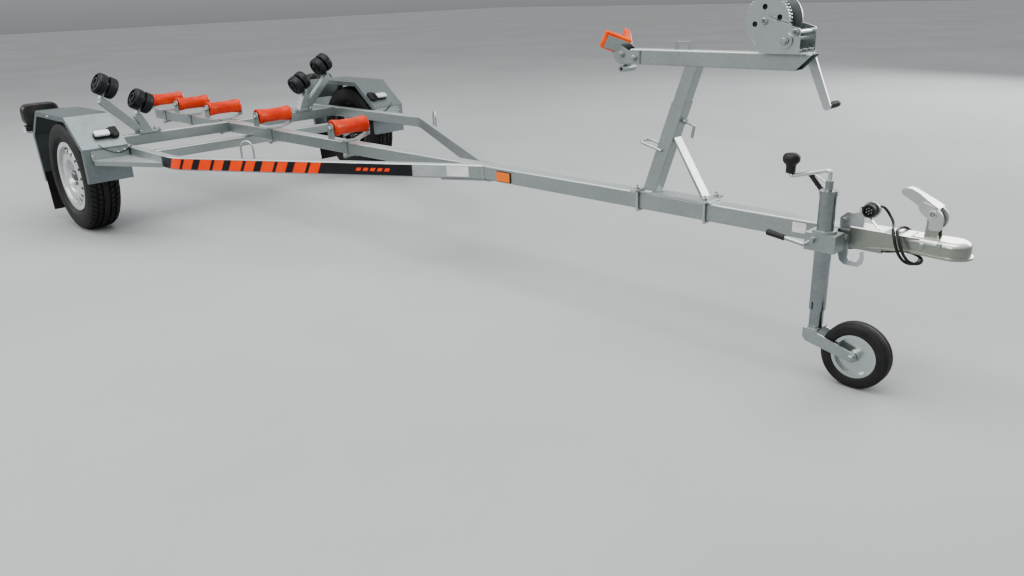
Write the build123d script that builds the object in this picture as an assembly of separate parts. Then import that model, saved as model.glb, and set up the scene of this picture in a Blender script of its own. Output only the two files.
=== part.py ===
from build123d import *
import math
import os

# Single-axle boat trailer. Millimetres, +X towards the coupling, +Y to the left, +Z up.
# Sizes are worked out about the ground point under the axle; move_to_origin puts the
# middle of the trailer's footprint at the origin, on the ground.

# Frame tubes
FRAME_TOP = 455.0
TUBE = 60.0
TUBE_WALL = 3.0
TUBE_CORNER = 6.0
FRAME_BOTTOM = FRAME_TOP - TUBE
KEEL_REAR_X = -1060.0
DRAWBAR_FRONT_X = 3860.0
RAIL_WIDTH = 40.0
RAIL_ANGLE = 28.7
RAIL_JUNCTION_X = 2211.0
RAIL_BEND_RADIUS = 220.0
CROSSBEAM_X = -50.0

# Road wheels and axle
TRACK = 1780.0
TYRE_RADIUS = 288.0
TYRE_WIDTH = 168.0
RAIL_OUTER_Y = TRACK / 2 - 124.0
RAIL_REAR_X = -TYRE_RADIUS - 132.0
RIM_FLANGE_RADIUS = 182.5
RIM_HALF_WIDTH = 68.0
RIM_WELL_RADIUS = 150.0
WHEEL_OFFSET = 28.0
HUB_BORE_RADIUS = 17.5
RUNNING_GAP = 0.05
AXLE_BEAM_X = 165.0
AXLE_BEAM_SIZE = 50.0
AXLE_PLATE = 10.0
ARM_INNER_Y = RAIL_OUTER_Y + 10.0
ARM_THICKNESS = 24.0

# Fenders
FENDER_INNER_Y = RAIL_OUTER_Y + 4.0
FENDER_OUTER_Y = TRACK / 2 + 100.0
FENDER_SHEET = 3.0
FENDER_LIP = 25.0
FENDER_TOP_Z = 2 * TYRE_RADIUS + 39.0
FENDER_REAR_X = -TYRE_RADIUS - 62.0
FENDER_FRONT_X = TYRE_RADIUS + 77.0
FLAP_BOTTOM_Z = 63.0

# Keel rollers and bilge rollers
KEEL_ROLLER_X = (1205.0, 474.0, -110.0, -528.0, -908.0)
KEEL_ROLLER_Z = 530.0
KEEL_ROLLER_LENGTH = 200.0
KEEL_ROLLER_RADIUS = 41.0
KEEL_ROLLER_WAIST = 5.0
ROLLER_SHAFT_RADIUS = 8.0
BILGE_OUTER_Y = RAIL_OUTER_Y - 86.0
BILGE_OUTER_Z = 727.0
BILGE_INNER_Y = RAIL_OUTER_Y - 262.0
BILGE_INNER_Z = 628.0
BILGE_ROLLER_RADIUS = 58.0
BILGE_ROLLER_LENGTH = 108.0
BILGE_NECK_RADIUS = 14.0
BILGE_EYE = 14.0
BILGE_TILT = 29.0

# Winch post
POST_LEAN = 19.3
POST_X = 3044.0
SLEEVE_SIZE = 50.0
SLEEVE_WALL = 2.0
SLEEVE_TOP_Z = 775.0
POST_GAP = 0.5
BEAM_SIZE = 50.0
BEAM_BOTTOM_Z = 890.0
BEAM_REAR_X = 2958.0
BEAM_FRONT_X = 3545.0
STEM_RAKE = 30.0

# Winch
DRUM_X = 3461.0
DRUM_Z = 1031.0
PINION_X = 3530.0
PINION_Z = 977.0
GEAR_TEETH = 48
PINION_TEETH = 10
WINCH_PLATE_Y = 52.0
WINCH_PLATE = 4.0
CRANK_LENGTH = 212.0
CRANK_ANGLE = -66.0

# Jockey wheel
JOCKEY_X = 3720.0
JOCKEY_Y = -96.0
JOCKEY_TUBE_RADIUS = 24.0
JOCKEY_TUBE_WALL = 3.0
JOCKEY_TUBE_BOTTOM = 213.0
JOCKEY_TUBE_TOP = 560.0
JOCKEY_CRANK_TOP = 632.0
JOCKEY_CRANK_REACH = 120.0
JOCKEY_CRANK_DROP = 32.0
JOCKEY_NECK = 42.0
JOCKEY_CRANK_ROD = 6.0
JOCKEY_WHEEL_X = 3850.0
JOCKEY_WHEEL_RADIUS = 100.0
JOCKEY_WHEEL_WIDTH = 50.0

# Coupling
BALL_X = 4038.0
BALL_Z = 432.0
BALL_RADIUS = 25.0
BALL_GAP = 0.3
NOSE_X = BALL_X + 52.0
COUPLING_REAR_X = 3768.0
COUPLING_WALL = 5.0
COUPLING_LIP = 6.0
LIP_SHEET = 5.0
LIP_REAR_Z = 404.0
LIP_HEAD_Z = 417.0
COUPLING_DOME = 16.0
HANDLE_X = BALL_X - 56.0
HANDLE_Z = 530.0
HANDLE_PIN = 5.0
HANDLE_HALF = 12.0
EAR_GAP = 1.0
EAR_SHEET = 5.0

# Plug and cable
PLUG_RADIUS = 19.0
PLUG_CENTRE = (3822.0, -30.0, 520.0)
PLUG_LENGTH = 40.0
CABLE_RADIUS = 4.0
GLAND_X = 3700.0
GLAND_Y = 22.0
GLAND_HEIGHT = 10.0


def slab_xy(sketch, z0, z1):
    return extrude(Pos(0, 0, z0) * sketch, amount=z1 - z0)


def slab_xz(sketch, y0, y1):
    plane = Plane(origin=(0, y1, 0), x_dir=(1, 0, 0), z_dir=(0, -1, 0))
    return extrude(plane * sketch, amount=y1 - y0)


def slab_yz(sketch, x0, x1):
    plane = Plane(origin=(x0, 0, 0), x_dir=(0, 1, 0), z_dir=(1, 0, 0))
    return extrude(plane * sketch, amount=x1 - x0)


def polygon(points):
    return make_face(Polyline(*points, close=True))


def block(x0, x1, y0, y1, z0, z1):
    centre = Pos((x0 + x1) / 2, (y0 + y1) / 2, (z0 + z1) / 2)
    return centre * Box(x1 - x0, y1 - y0, z1 - z0)


def rod(start, end, radius):
    a, b = Vector(*start), Vector(*end)
    plane = Plane(origin=a, z_dir=b - a)
    return extrude(plane * Circle(radius), amount=(b - a).length)


def bent_rod(points, radius, bend):
    """Round rod along a bent line; bend is one radius, or one for each corner."""
    path = FilletPolyline(*points, radius=bend)
    plane = Plane(origin=path @ 0, z_dir=path % 0)
    return sweep(plane * Circle(radius), path=path)


def turned(profile, x, y, z):
    """A solid of revolution about a line along Y; the profile's points are (radius, y)."""
    return Pos(x, y, z) * revolve(polygon(profile), Axis.Y, 360)


def left(solid):
    return mirror(solid, about=Plane.XZ)


def both_sides(solid):
    return Compound(children=[solid, left(solid)])


def square_tube_x(x0, x1, width, height, wall, top_z, corner=TUBE_CORNER):
    middle = Pos(0, top_z - height / 2)
    outer = slab_yz(middle * RectangleRounded(width, height, corner), x0, x1)
    inner = slab_yz(middle * Rectangle(width - 2 * wall, height - 2 * wall), x0, x1)
    return outer - inner


# Frame

def keel_beam():
    return square_tube_x(KEEL_REAR_X, DRAWBAR_FRONT_X, TUBE, TUBE, TUBE_WALL, FRAME_TOP)


def rail_path():
    """Centre line of the right rail, from its rear end to a point inside the drawbar."""
    slope = math.tan(math.radians(RAIL_ANGLE))
    side_y = -(RAIL_OUTER_Y - RAIL_WIDTH / 2)
    inward = RAIL_WIDTH / 2 / math.cos(math.radians(RAIL_ANGLE))
    bend_x = RAIL_JUNCTION_X - (RAIL_OUTER_Y - RAIL_WIDTH / 2 - TUBE / 2 + inward) / slope
    end_x = bend_x + (-side_y - 5) / slope
    z = FRAME_TOP - TUBE / 2
    return FilletPolyline((RAIL_REAR_X, side_y, z), (bend_x, side_y, z), (end_x, -5, z),
                          radius=RAIL_BEND_RADIUS)


def rail_y(x):
    """Distance of the slanting rail's centre line from the middle at x."""
    slope = math.tan(math.radians(RAIL_ANGLE))
    inward = RAIL_WIDTH / 2 / math.cos(math.radians(RAIL_ANGLE))
    return TUBE / 2 - inward + (RAIL_JUNCTION_X - x) * slope


LOOP_X = 1205.0
LOOP_HALF_WIDTH = 32.0
LOOP_HEIGHT = 80.0
LOOP_ROD = 4.5


def rod_loop():
    """Upright loop of round rod, centred on the Z axis, its feet at z = 0."""
    straight = LOOP_HEIGHT - LOOP_HALF_WIDTH
    legs = [rod((s * LOOP_HALF_WIDTH, 0, 0), (s * LOOP_HALF_WIDTH, 0, straight), LOOP_ROD)
            for s in (-1, 1)]
    ring = Pos(0, 0, straight) * Rot(90, 0, 0) * Torus(LOOP_HALF_WIDTH, LOOP_ROD)
    arch = ring & block(-100, 100, -20, 20, straight, straight + 100)
    return legs[0] + legs[1] + arch


def side_rail():
    path = rail_path()
    start = Plane(origin=path @ 0, x_dir=(0, 1, 0), z_dir=path % 0)
    outer = sweep(start * RectangleRounded(RAIL_WIDTH, TUBE, TUBE_CORNER), path=path)
    wall = 2 * TUBE_WALL
    inner = sweep(start * Rectangle(RAIL_WIDTH - wall, TUBE - wall), path=path)
    middle = block(RAIL_JUNCTION_X - 300, RAIL_JUNCTION_X + 300, -TUBE / 2, TUBE / 2, 0, 600)
    rail = outer - inner - middle
    loop = Pos(LOOP_X, -rail_y(LOOP_X), FRAME_TOP - 1) * Rot(0, 0, RAIL_ANGLE) * rod_loop()
    return rail + loop


def crossbeam():
    middle = Pos(CROSSBEAM_X, FRAME_TOP - TUBE / 2)
    y0, y1 = -(RAIL_OUTER_Y - RAIL_WIDTH), -TUBE / 2
    outer = slab_xz(middle * RectangleRounded(TUBE, TUBE, TUBE_CORNER), y0, y1)
    bore = TUBE - 2 * TUBE_WALL
    return outer - slab_xz(middle * Rectangle(bore, bore), y0, y1)


JUNCTION_PLATE = 6.0


def junction_plate():
    """Gusset under the place where the rails meet the drawbar."""
    slope = math.tan(math.radians(RAIL_ANGLE))
    front, rear = RAIL_JUNCTION_X + 30, RAIL_JUNCTION_X - 170
    rear_y = TUBE / 2 + (RAIL_JUNCTION_X - rear) * slope
    outline = [(rear, -rear_y), (RAIL_JUNCTION_X, -TUBE / 2), (front, -TUBE / 2),
               (front, TUBE / 2), (RAIL_JUNCTION_X, TUBE / 2), (rear, rear_y)]
    return slab_xy(polygon(outline), FRAME_BOTTOM - JUNCTION_PLATE, FRAME_BOTTOM)


AXLE_BEAM_TOP = FRAME_BOTTOM - AXLE_PLATE
AXLE_BEAM_Z = AXLE_BEAM_TOP - AXLE_BEAM_SIZE / 2


def axle_beam():
    """Square axle tube with the two plates that bolt it under the rails."""
    middle = Pos(AXLE_BEAM_X, AXLE_BEAM_Z)
    reach = ARM_INNER_Y
    outer = slab_xz(middle * RectangleRounded(AXLE_BEAM_SIZE, AXLE_BEAM_SIZE, 5), -reach, reach)
    bore = AXLE_BEAM_SIZE - 8
    beam = outer - slab_xz(middle * Rectangle(bore, bore), -reach, reach)
    plate = block(AXLE_BEAM_X - 80, AXLE_BEAM_X + 80, RAIL_OUTER_Y - RAIL_WIDTH, RAIL_OUTER_Y,
                  AXLE_BEAM_TOP - 0.5, FRAME_BOTTOM)
    return beam + plate + left(plate)


SPINDLE_SHOULDER = 23.0
HUB_INNER_T = -58.0
HUB_END_T = 40.0


def suspension_arm():
    """Trailing arm with its spindle; right side."""
    y1 = -ARM_INNER_Y
    y0 = y1 - ARM_THICKNESS
    pivot = Pos(AXLE_BEAM_X, AXLE_BEAM_Z)
    centre = Pos(0, TYRE_RADIUS)
    outline = make_hull((pivot * Circle(34)).edges() + (centre * Circle(32)).edges())
    arm = slab_xz(outline, y0, y1)
    boss = slab_xz(pivot * Circle(20), y1 - 1, y1 + 40)
    hub_inner = -(TRACK / 2 + HUB_INNER_T)
    shoulder = slab_xz(centre * Circle(SPINDLE_SHOULDER), hub_inner + RUNNING_GAP, y0 + 1)
    end = -(TRACK / 2 + HUB_END_T)
    spindle = slab_xz(centre * Circle(HUB_BORE_RADIUS), end, hub_inner + 1)
    return arm + boss + shoulder + spindle


# Fenders

def fender_outline():
    """Side line of the fender, from its rear lower end over the wheel to the front."""
    rear, front, top = FENDER_REAR_X, FENDER_FRONT_X, FENDER_TOP_Z
    return [(rear, top - 393), (rear - 35, top - 135), (rear + 95, top), (front - 185, top),
            (front, top - 145), (front, top - 315)]


def offset_line(points, distance):
    """The open line moved sideways, to its right as it runs."""
    normals = []
    for (ax, az), (bx, bz) in zip(points, points[1:]):
        length = math.hypot(bx - ax, bz - az)
        normals.append(((bz - az) / length, -(bx - ax) / length))
    moved = []
    for i, (x, z) in enumerate(points):
        a = normals[max(i - 1, 0)]
        b = normals[min(i, len(normals) - 1)]
        scale = distance / (1 + a[0] * b[0] + a[1] * b[1])
        moved.append((x + (a[0] + b[0]) * scale, z + (a[1] + b[1]) * scale))
    return moved


def fender():
    line = fender_outline()
    inner = offset_line(line, FENDER_SHEET)
    lip = offset_line(line, FENDER_LIP)
    sheet = slab_xz(polygon(line + inner[::-1]), -FENDER_OUTER_Y, -FENDER_INNER_Y)
    flange = polygon(line + lip[::-1])
    outer_lip = slab_xz(flange, -FENDER_OUTER_Y, -FENDER_OUTER_Y + FENDER_SHEET)
    inner_lip = slab_xz(flange, -FENDER_INNER_Y - FENDER_SHEET, -FENDER_INNER_Y)
    return sheet + outer_lip + inner_lip


BRACKET_SHEET = 4.0
BRACKET_TOP_Z = FRAME_TOP - 40.0
BRACKET_FRONT_X = FENDER_FRONT_X + 375.0


def fender_bracket():
    """Folded bracket from the rail to the fender's front, and the spacer at its rear."""
    back_x = FENDER_FRONT_X
    out_y, in_y = -FENDER_OUTER_Y + 35, -RAIL_OUTER_Y
    corners = [(back_x, in_y), (BRACKET_FRONT_X, in_y), (back_x + 30, out_y), (back_x, out_y)]
    top = slab_xy(polygon(corners), BRACKET_TOP_Z - BRACKET_SHEET, BRACKET_TOP_Z)
    tab = block(back_x, back_x + BRACKET_SHEET, out_y, in_y - 6, BRACKET_TOP_Z - 1, FRAME_TOP + 3)
    edge = Vector(BRACKET_FRONT_X - back_x - 30, in_y - out_y, 0)
    normal = Vector(-edge.Y, edge.X, 0).normalized() * BRACKET_SHEET
    lip_plan = [(BRACKET_FRONT_X, in_y), (back_x + 30, out_y),
                (back_x + 30 + normal.X, out_y + normal.Y),
                (BRACKET_FRONT_X + normal.X, in_y + normal.Y)]
    room = block(back_x, BRACKET_FRONT_X + 60, out_y - 20, in_y, 0, FRAME_TOP)
    lip = slab_xy(polygon(lip_plan), BRACKET_TOP_Z - 22, BRACKET_TOP_Z - 1) & room
    rear = block(FENDER_REAR_X - 50, FENDER_REAR_X, -FENDER_INNER_Y, -RAIL_OUTER_Y, FRAME_BOTTOM,
                 FRAME_TOP + 35)
    return Compound(children=[top + tab + lip, rear])


FLAP_SHEET = 4.0


def mud_flap():
    """Rubber flap on the inside of the fender's rear panel."""
    (low_x, low_z), (high_x, high_z) = fender_outline()[:2]
    lean = (high_x - low_x) / (high_z - low_z)
    top_z = low_z + 50
    line = [(low_x + lean * (z - low_z), z) for z in (FLAP_BOTTOM_Z, top_z)]
    near = offset_line(line, FENDER_SHEET)
    far = offset_line(line, FENDER_SHEET + FLAP_SHEET)
    return slab_xz(polygon(near + far[::-1]), -FENDER_OUTER_Y + 8, -FENDER_INNER_Y - 8)


LAMP_PLATE = 6.0


def lamp_brackets():
    """Plates on the rails' rear ends that carry the rear lamps."""
    x1 = RAIL_REAR_X
    inner, outer, end = -RAIL_OUTER_Y + RAIL_WIDTH, -RAIL_OUTER_Y - 20, -FENDER_OUTER_Y + 50
    outline = [(inner, FRAME_BOTTOM), (inner, FRAME_TOP), (outer, FRAME_TOP + 90), (outer, FRAME_TOP + 145),
               (end, FRAME_TOP + 145), (end, FRAME_TOP + 105), (outer, FRAME_BOTTOM)]
    return both_sides(slab_yz(polygon(outline), x1 - LAMP_PLATE, x1))


LAMP_DEPTH = 72.0
LAMP_WIDTH = 175.0
LAMP_HEIGHT = 116.0


def tail_lamp():
    """Housing of the rear lamp with its lower window; right side."""
    x1 = RAIL_REAR_X - LAMP_PLATE
    outer, low = -FENDER_OUTER_Y, FRAME_TOP + 65
    housing = block(x1 - LAMP_DEPTH, x1, outer, outer + LAMP_WIDTH, low, low + LAMP_HEIGHT)
    housing = fillet(housing.edges().filter_by(Axis.X), 22)
    window = block(x1 - 55, x1 - 12, outer + 12, outer + 62, low - 42, low + 1)
    return housing + window


def marker_lamp():
    """White front lamp on its rubber arm, on the fender's front slope."""
    line = fender_outline()
    (ax, az), (bx, bz) = line[3], line[4]
    t = 0.62
    foot_x, foot_z = ax + (bx - ax) * t, az + (bz - az) * t
    lean = math.degrees(math.atan2(az - bz, bx - ax))
    base = Box(60, 34, 16, align=(Align.CENTER, Align.CENTER, Align.MIN))
    lens = Pos(10, -58, 2) * Box(34, 92, 22, align=(Align.CENTER, Align.CENTER, Align.MIN))
    return Pos(foot_x, -FENDER_INNER_Y - 30, foot_z) * Rot(0, lean, 0) * (base + lens)


# Keel rollers

CHEEK_INNER_Y = KEEL_ROLLER_LENGTH / 2 + 3.0
CHEEK_SHEET = 5.0
CHEEK_HALF_WIDTH = 26.0


def keel_bracket(x):
    """Forked bracket on the keel beam: saddle, two flared cheeks, straps and the shaft."""
    foot = TUBE / 2 + CHEEK_SHEET
    y_in, y_out = CHEEK_INNER_Y, CHEEK_INNER_Y + CHEEK_SHEET
    bracket = block(x - 22, x + 22, -foot, foot, FRAME_TOP, FRAME_TOP + 6)
    cheek_line = [(TUBE / 2, FRAME_TOP), (foot, FRAME_TOP), (y_out, KEEL_ROLLER_Z - 52),
                  (y_out, KEEL_ROLLER_Z + 26), (y_in, KEEL_ROLLER_Z + 26), (y_in, KEEL_ROLLER_Z - 50)]
    side_view = make_hull((Pos(x, KEEL_ROLLER_Z) * Circle(CHEEK_HALF_WIDTH)).edges()
                          + (Pos(x, FRAME_TOP) * Rectangle(2 * CHEEK_HALF_WIDTH, 10)).edges())
    cheek = slab_yz(polygon(cheek_line), x - CHEEK_HALF_WIDTH, x + CHEEK_HALF_WIDTH)
    cheek = cheek & slab_xz(side_view, 0, 2 * y_out)
    strap = block(x - 18, x + 18, TUBE / 2, foot, FRAME_BOTTOM - 18, FRAME_TOP + 1)
    for solid in (cheek, strap):
        bracket = bracket + solid + left(solid)
    bolt = block(x - 6, x + 6, -foot, foot, FRAME_BOTTOM - 16, FRAME_BOTTOM - 4)
    reach = y_out + 7
    shaft = rod((x, -reach, KEEL_ROLLER_Z), (x, reach, KEEL_ROLLER_Z), ROLLER_SHAFT_RADIUS)
    return bracket + bolt + shaft


def keel_brackets():
    return Compound(children=[keel_bracket(x) for x in KEEL_ROLLER_X])


def keel_roller(x):
    half = KEEL_ROLLER_LENGTH / 2
    bore = ROLLER_SHAFT_RADIUS + RUNNING_GAP
    waist = KEEL_ROLLER_RADIUS - KEEL_ROLLER_WAIST
    profile = [(bore, -half), (KEEL_ROLLER_RADIUS - 6, -half), (KEEL_ROLLER_RADIUS, -half + 6),
               (KEEL_ROLLER_RADIUS, -half + 16), (waist, -half + 50), (waist, half - 50),
               (KEEL_ROLLER_RADIUS, half - 16), (KEEL_ROLLER_RADIUS, half - 6),
               (KEEL_ROLLER_RADIUS - 6, half), (bore, half)]
    return turned(profile, x, 0, KEEL_ROLLER_Z)


# Bilge rollers

SUPPORT_TUBE = 40.0
BILGE_PLACES = ((BILGE_OUTER_Y, BILGE_OUTER_Z), (BILGE_INNER_Y, BILGE_INNER_Z))
BILGE_CLEAR = BILGE_ROLLER_RADIUS + 8


def at_bilge_roller(y, z, solid):
    """The solid put on the right side's roller at y, z, with its Y axis along the roller's axis."""
    return Pos(CROSSBEAM_X, -y, z) * Rot(-BILGE_TILT, 0, 0) * solid


def bilge_arm(y, z, foot_y):
    """Arm of square tube from the clamp at foot_y up to the place under one roller."""
    tilt = math.radians(BILGE_TILT)
    end_y = -y - math.sin(tilt) * (BILGE_CLEAR + 14)
    end_z = z - math.cos(tilt) * (BILGE_CLEAR + 14)
    run_y, run_z = end_y - foot_y, end_z - FRAME_TOP
    length = math.hypot(run_y, run_z)
    half = SUPPORT_TUBE / 2
    ny, nz = run_z / length * half, -run_y / length * half
    foot_half = half * length / run_z
    outline = [(end_y + ny, end_z + nz), (end_y - ny, end_z - nz),
               (foot_y - foot_half, FRAME_TOP + 4), (foot_y + foot_half, FRAME_TOP + 4)]
    return slab_yz(polygon(outline), CROSSBEAM_X - half, CROSSBEAM_X + half)


def bilge_support():
    """Clamp on the crossbeam, upright post and slanting arm with the two roller eyes."""
    x, clamp_y = CROSSBEAM_X, -BILGE_INNER_Y + 10
    solid = block(x - 38, x + 38, clamp_y - 60, clamp_y + 60, FRAME_TOP, FRAME_TOP + 8)
    for (y, z), foot_y in zip(BILGE_PLACES, (clamp_y - 30, clamp_y)):
        solid = solid + bilge_arm(y, z, foot_y)
    eye_half = BILGE_EYE / 2
    for y, z in BILGE_PLACES:
        room = block(-60, 60, -60, 60, -BILGE_CLEAR, 60)
        neck = block(-20, 20, -eye_half, eye_half, -BILGE_CLEAR - 10, 0)
        eye = extrude(Plane.XZ * Circle(26), amount=eye_half, both=True)
        bore = extrude(Plane.XZ * Circle(BILGE_NECK_RADIUS + RUNNING_GAP), amount=2 * eye_half, both=True)
        solid = solid - at_bilge_roller(y, z, room)
        solid = solid + at_bilge_roller(y, z, neck + eye) - at_bilge_roller(y, z, bore)
    return solid


def bilge_roller(y, z, side):
    """Rubber roller in two halves on one neck that turns in its eye."""
    half = BILGE_ROLLER_LENGTH / 2
    gap = BILGE_EYE / 2 + 1
    r = BILGE_ROLLER_RADIUS
    profile = [(0, -half), (r - 14, -half), (r, -half + 14), (r, -gap), (BILGE_NECK_RADIUS, -gap),
               (BILGE_NECK_RADIUS, gap), (r, gap), (r, half - 14), (r - 14, half), (0, half)]
    roller = revolve(polygon(profile), Axis.Y, 360)
    right = at_bilge_roller(y, z, roller)
    return right if side == "right" else left(right)


# Winch post

LEAN = math.tan(math.radians(POST_LEAN))


def post_x(z):
    """Where the post's centre line is at height z."""
    return POST_X + (z - FRAME_TOP) * LEAN


def leaning_tube(size, bore, z0, z1, corner):
    """Square tube along the leaning post, cut level at both ends; bore 0 makes it solid."""
    plane = Plane(origin=(post_x(z0 - 60), 0, z0 - 60), x_dir=(0, 1, 0),
                  z_dir=(math.sin(math.radians(POST_LEAN)), 0, math.cos(math.radians(POST_LEAN))))
    length = (z1 - z0 + 120) / math.cos(math.radians(POST_LEAN))
    tube = extrude(plane * RectangleRounded(size, size, corner), amount=length)
    if bore:
        tube = tube - extrude(plane * Rectangle(bore, bore), amount=length)
    return tube & block(2500, 3900, -100, 100, z0, z1)


POST_PLATE = 6.0
CLAMP_X = (3006.0, 3279.0)
U_BOLT_ROD = 5.0


def post_base():
    """Plate on the drawbar, the two cross bars and the bolts that clamp it."""
    z0, z1 = FRAME_TOP, FRAME_TOP + POST_PLATE
    plate = block(CLAMP_X[0] - 18, CLAMP_X[1] + 18, -TUBE / 2 - 2, TUBE / 2 + 2, z0, z1)
    solid = plate
    y, low, high = TUBE / 2 + U_BOLT_ROD + 0.5, FRAME_BOTTOM - U_BOLT_ROD - 0.5, z1 + 20
    for x in CLAMP_X:
        bar = block(x - 12, x + 12, -62, 62, z1 - 1, z1 + 6)
        u_bolt = bent_rod([(x, -y, high), (x, -y, low), (x, y, low), (x, y, high)], U_BOLT_ROD, 7)
        solid = solid + bar + u_bolt
    return solid


def post_sleeve():
    """Leaning sleeve with its brace, rear rod loop and clamp screw."""
    bore = SLEEVE_SIZE - 2 * SLEEVE_WALL
    z0 = FRAME_TOP + POST_PLATE
    sleeve = leaning_tube(SLEEVE_SIZE, bore, z0, SLEEVE_TOP_Z, 4)
    foot_x = CLAMP_X[1] - 17.0
    half = SLEEVE_SIZE / 2 / math.cos(math.radians(POST_LEAN))
    top_z = 648.0
    top_x = post_x(top_z) + half
    brace_line = [(top_x - 2, top_z), (top_x + 5, top_z + 8), (foot_x + 2, z0), (foot_x - 8, z0)]
    brace = slab_xz(polygon(brace_line), -14, 14)
    loop_z, loop_y = 610.0, SLEEVE_SIZE / 2 + LOOP_ROD - 0.5
    loop_x = post_x(loop_z)
    loop = bent_rod([(loop_x, -loop_y, loop_z), (loop_x - 95, -loop_y, loop_z + 24),
                     (loop_x - 95, loop_y, loop_z + 24), (loop_x, loop_y, loop_z)], LOOP_ROD, 22)
    screw_z = 715.0
    screw_x = post_x(screw_z) + half
    nut = rod((screw_x - 1, 0, screw_z), (screw_x + 14, 0, screw_z - 5), 9)
    lever = bent_rod([(screw_x + 12, 0, screw_z - 4), (screw_x + 44, 0, screw_z - 15),
                      (screw_x + 36, 0, screw_z - 55)], 5, 8)
    return sleeve + brace + loop + nut + lever


BEAM_TOP_Z = BEAM_BOTTOM_Z + BEAM_SIZE


def winch_post():
    """Inner post tube with the winch beam on top."""
    size = SLEEVE_SIZE - 2 * SLEEVE_WALL - 2 * POST_GAP
    inner = leaning_tube(size, size - 5, SLEEVE_TOP_Z - 140, BEAM_BOTTOM_Z + 1, 3)
    beam = square_tube_x(BEAM_REAR_X, BEAM_FRONT_X + 55, BEAM_SIZE, BEAM_SIZE, TUBE_WALL, BEAM_TOP_Z, 5)
    slant = polygon([(BEAM_FRONT_X, BEAM_BOTTOM_Z - 5), (BEAM_FRONT_X + 60, BEAM_TOP_Z + 1),
                     (BEAM_FRONT_X + 90, BEAM_TOP_Z + 1), (BEAM_FRONT_X + 90, BEAM_BOTTOM_Z - 5)])
    beam = beam - slab_xz(slant, -60, 60)
    staple_feet = [block(x, x + 5, -8, 8, BEAM_TOP_Z - 1, BEAM_TOP_Z + 26) for x in (3125, 3175)]
    staple = block(3125, 3180, -8, 8, BEAM_TOP_Z + 21, BEAM_TOP_Z + 26)
    return inner + beam + staple_feet[0] + staple_feet[1] + staple


def stem_place(u, v, s):
    """Point u along the bow stop's opening, v across and s along the stem, in the trailer's frame."""
    rake = math.radians(STEM_RAKE)
    return (2932 - math.cos(rake) * u + math.sin(rake) * s, v,
            938 + math.sin(rake) * u + math.cos(rake) * s)


def vee(front, back, wing, half_height):
    """Vee-shaped block along the stem: front and back are its apex points, wing its reach."""
    reach, half_width = wing
    outline = [(front, 0), (reach, -half_width), (reach + 14, -half_width + 12), (back, 0),
               (reach + 14, half_width - 12), (reach, half_width)]
    rake = math.radians(STEM_RAKE)
    plane = Plane(origin=stem_place(0, 0, -half_height), x_dir=(-math.cos(rake), 0, math.sin(rake)),
                  z_dir=(math.sin(rake), 0, math.cos(rake)))
    return extrude(plane * polygon(outline), amount=2 * half_height)


def bow_stop():
    return vee(0, 26, (66, 64), 30)


def bow_stop_bracket():
    """Steel vee behind the bow stop and the side plates that carry it on the beam."""
    backing = vee(-8, 2, (54, 62), 22) - bow_stop()
    plates = []
    for side in (-1, 1):
        y0, y1 = sorted((side * BEAM_SIZE / 2, side * (BEAM_SIZE / 2 + 4)))
        outline = [(2885, 925), (2905, 893), (3000, 893), (3000, 936), (2950, 936), (2905, 960)]
        plates.append(slab_xz(polygon(outline), y0, y1) - bow_stop())
    tube = rod((2928, -34, 874), (2928, 34, 874), 12) - rod((2928, -35, 874), (2928, 35, 874), 6)
    hanger = block(2920, 2936, -10, 10, 882, 894)
    web = block(2912, 2956, -25.5, 25.5, 890, 895)
    return backing + plates[0] + plates[1] + web + hanger + tube


# Winch

MODULE = math.hypot(PINION_X - DRUM_X, PINION_Z - DRUM_Z) * 2 / (GEAR_TEETH + PINION_TEETH)
GEAR_WIDTH = 8.0
GEAR_Y = -38.0


def gear_face(teeth, first, bore=0):
    """Gear outline with straight-flanked teeth; the first tooth stands at the angle first."""
    pitch = MODULE * teeth / 2
    steps = ((-0.29, -1.2), (-0.14, 0.92), (0.14, 0.92), (0.29, -1.2))
    points = []
    for i in range(teeth):
        for part, height in steps:
            angle = math.radians(first) + (i + part) * 2 * math.pi / teeth
            r = pitch + height * MODULE
            points.append((r * math.cos(angle), r * math.sin(angle)))
    face = polygon(points)
    return face - Circle(bore) if bore else face


def centre_angle():
    """Angle of the line from the drum's centre to the pinion's, seen with +Z up and +X right."""
    return math.degrees(math.atan2(PINION_Z - DRUM_Z, PINION_X - DRUM_X))


DRUM_PIN = 8.0
DRUM_HALF = 34.0
DRUM_FLANGE = 75.0
DRUM_HOLES = 4


def winch_drum():
    """Drum with its toothed gear flange, web holes and far flange."""
    centre = Pos(DRUM_X, DRUM_Z)
    gear = gear_face(GEAR_TEETH, centre_angle())
    for k in range(DRUM_HOLES):
        gear = gear - Rot(0, 0, 360 / DRUM_HOLES * k + 14) * Pos(40, 0) * Circle(8)
    flange = slab_xz(centre * (Circle(DRUM_FLANGE) - Circle(10)), DRUM_HALF - 4, DRUM_HALF)
    core = slab_xz(centre * Circle(20), GEAR_Y + 2, DRUM_HALF)
    plate = slab_xz(centre * gear, GEAR_Y, GEAR_Y + GEAR_WIDTH)
    bore = slab_xz(centre * Circle(DRUM_PIN + RUNNING_GAP), -60, 60)
    return plate + core + flange - bore


def strap_coil():
    """Webbing wound on the drum."""
    centre = Pos(DRUM_X, DRUM_Z)
    return slab_xz(centre * (Circle(52) - Circle(20)), GEAR_Y + GEAR_WIDTH + 0.5, DRUM_HALF - 4.5)


TIE_ROD_Z = 1001.0


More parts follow.
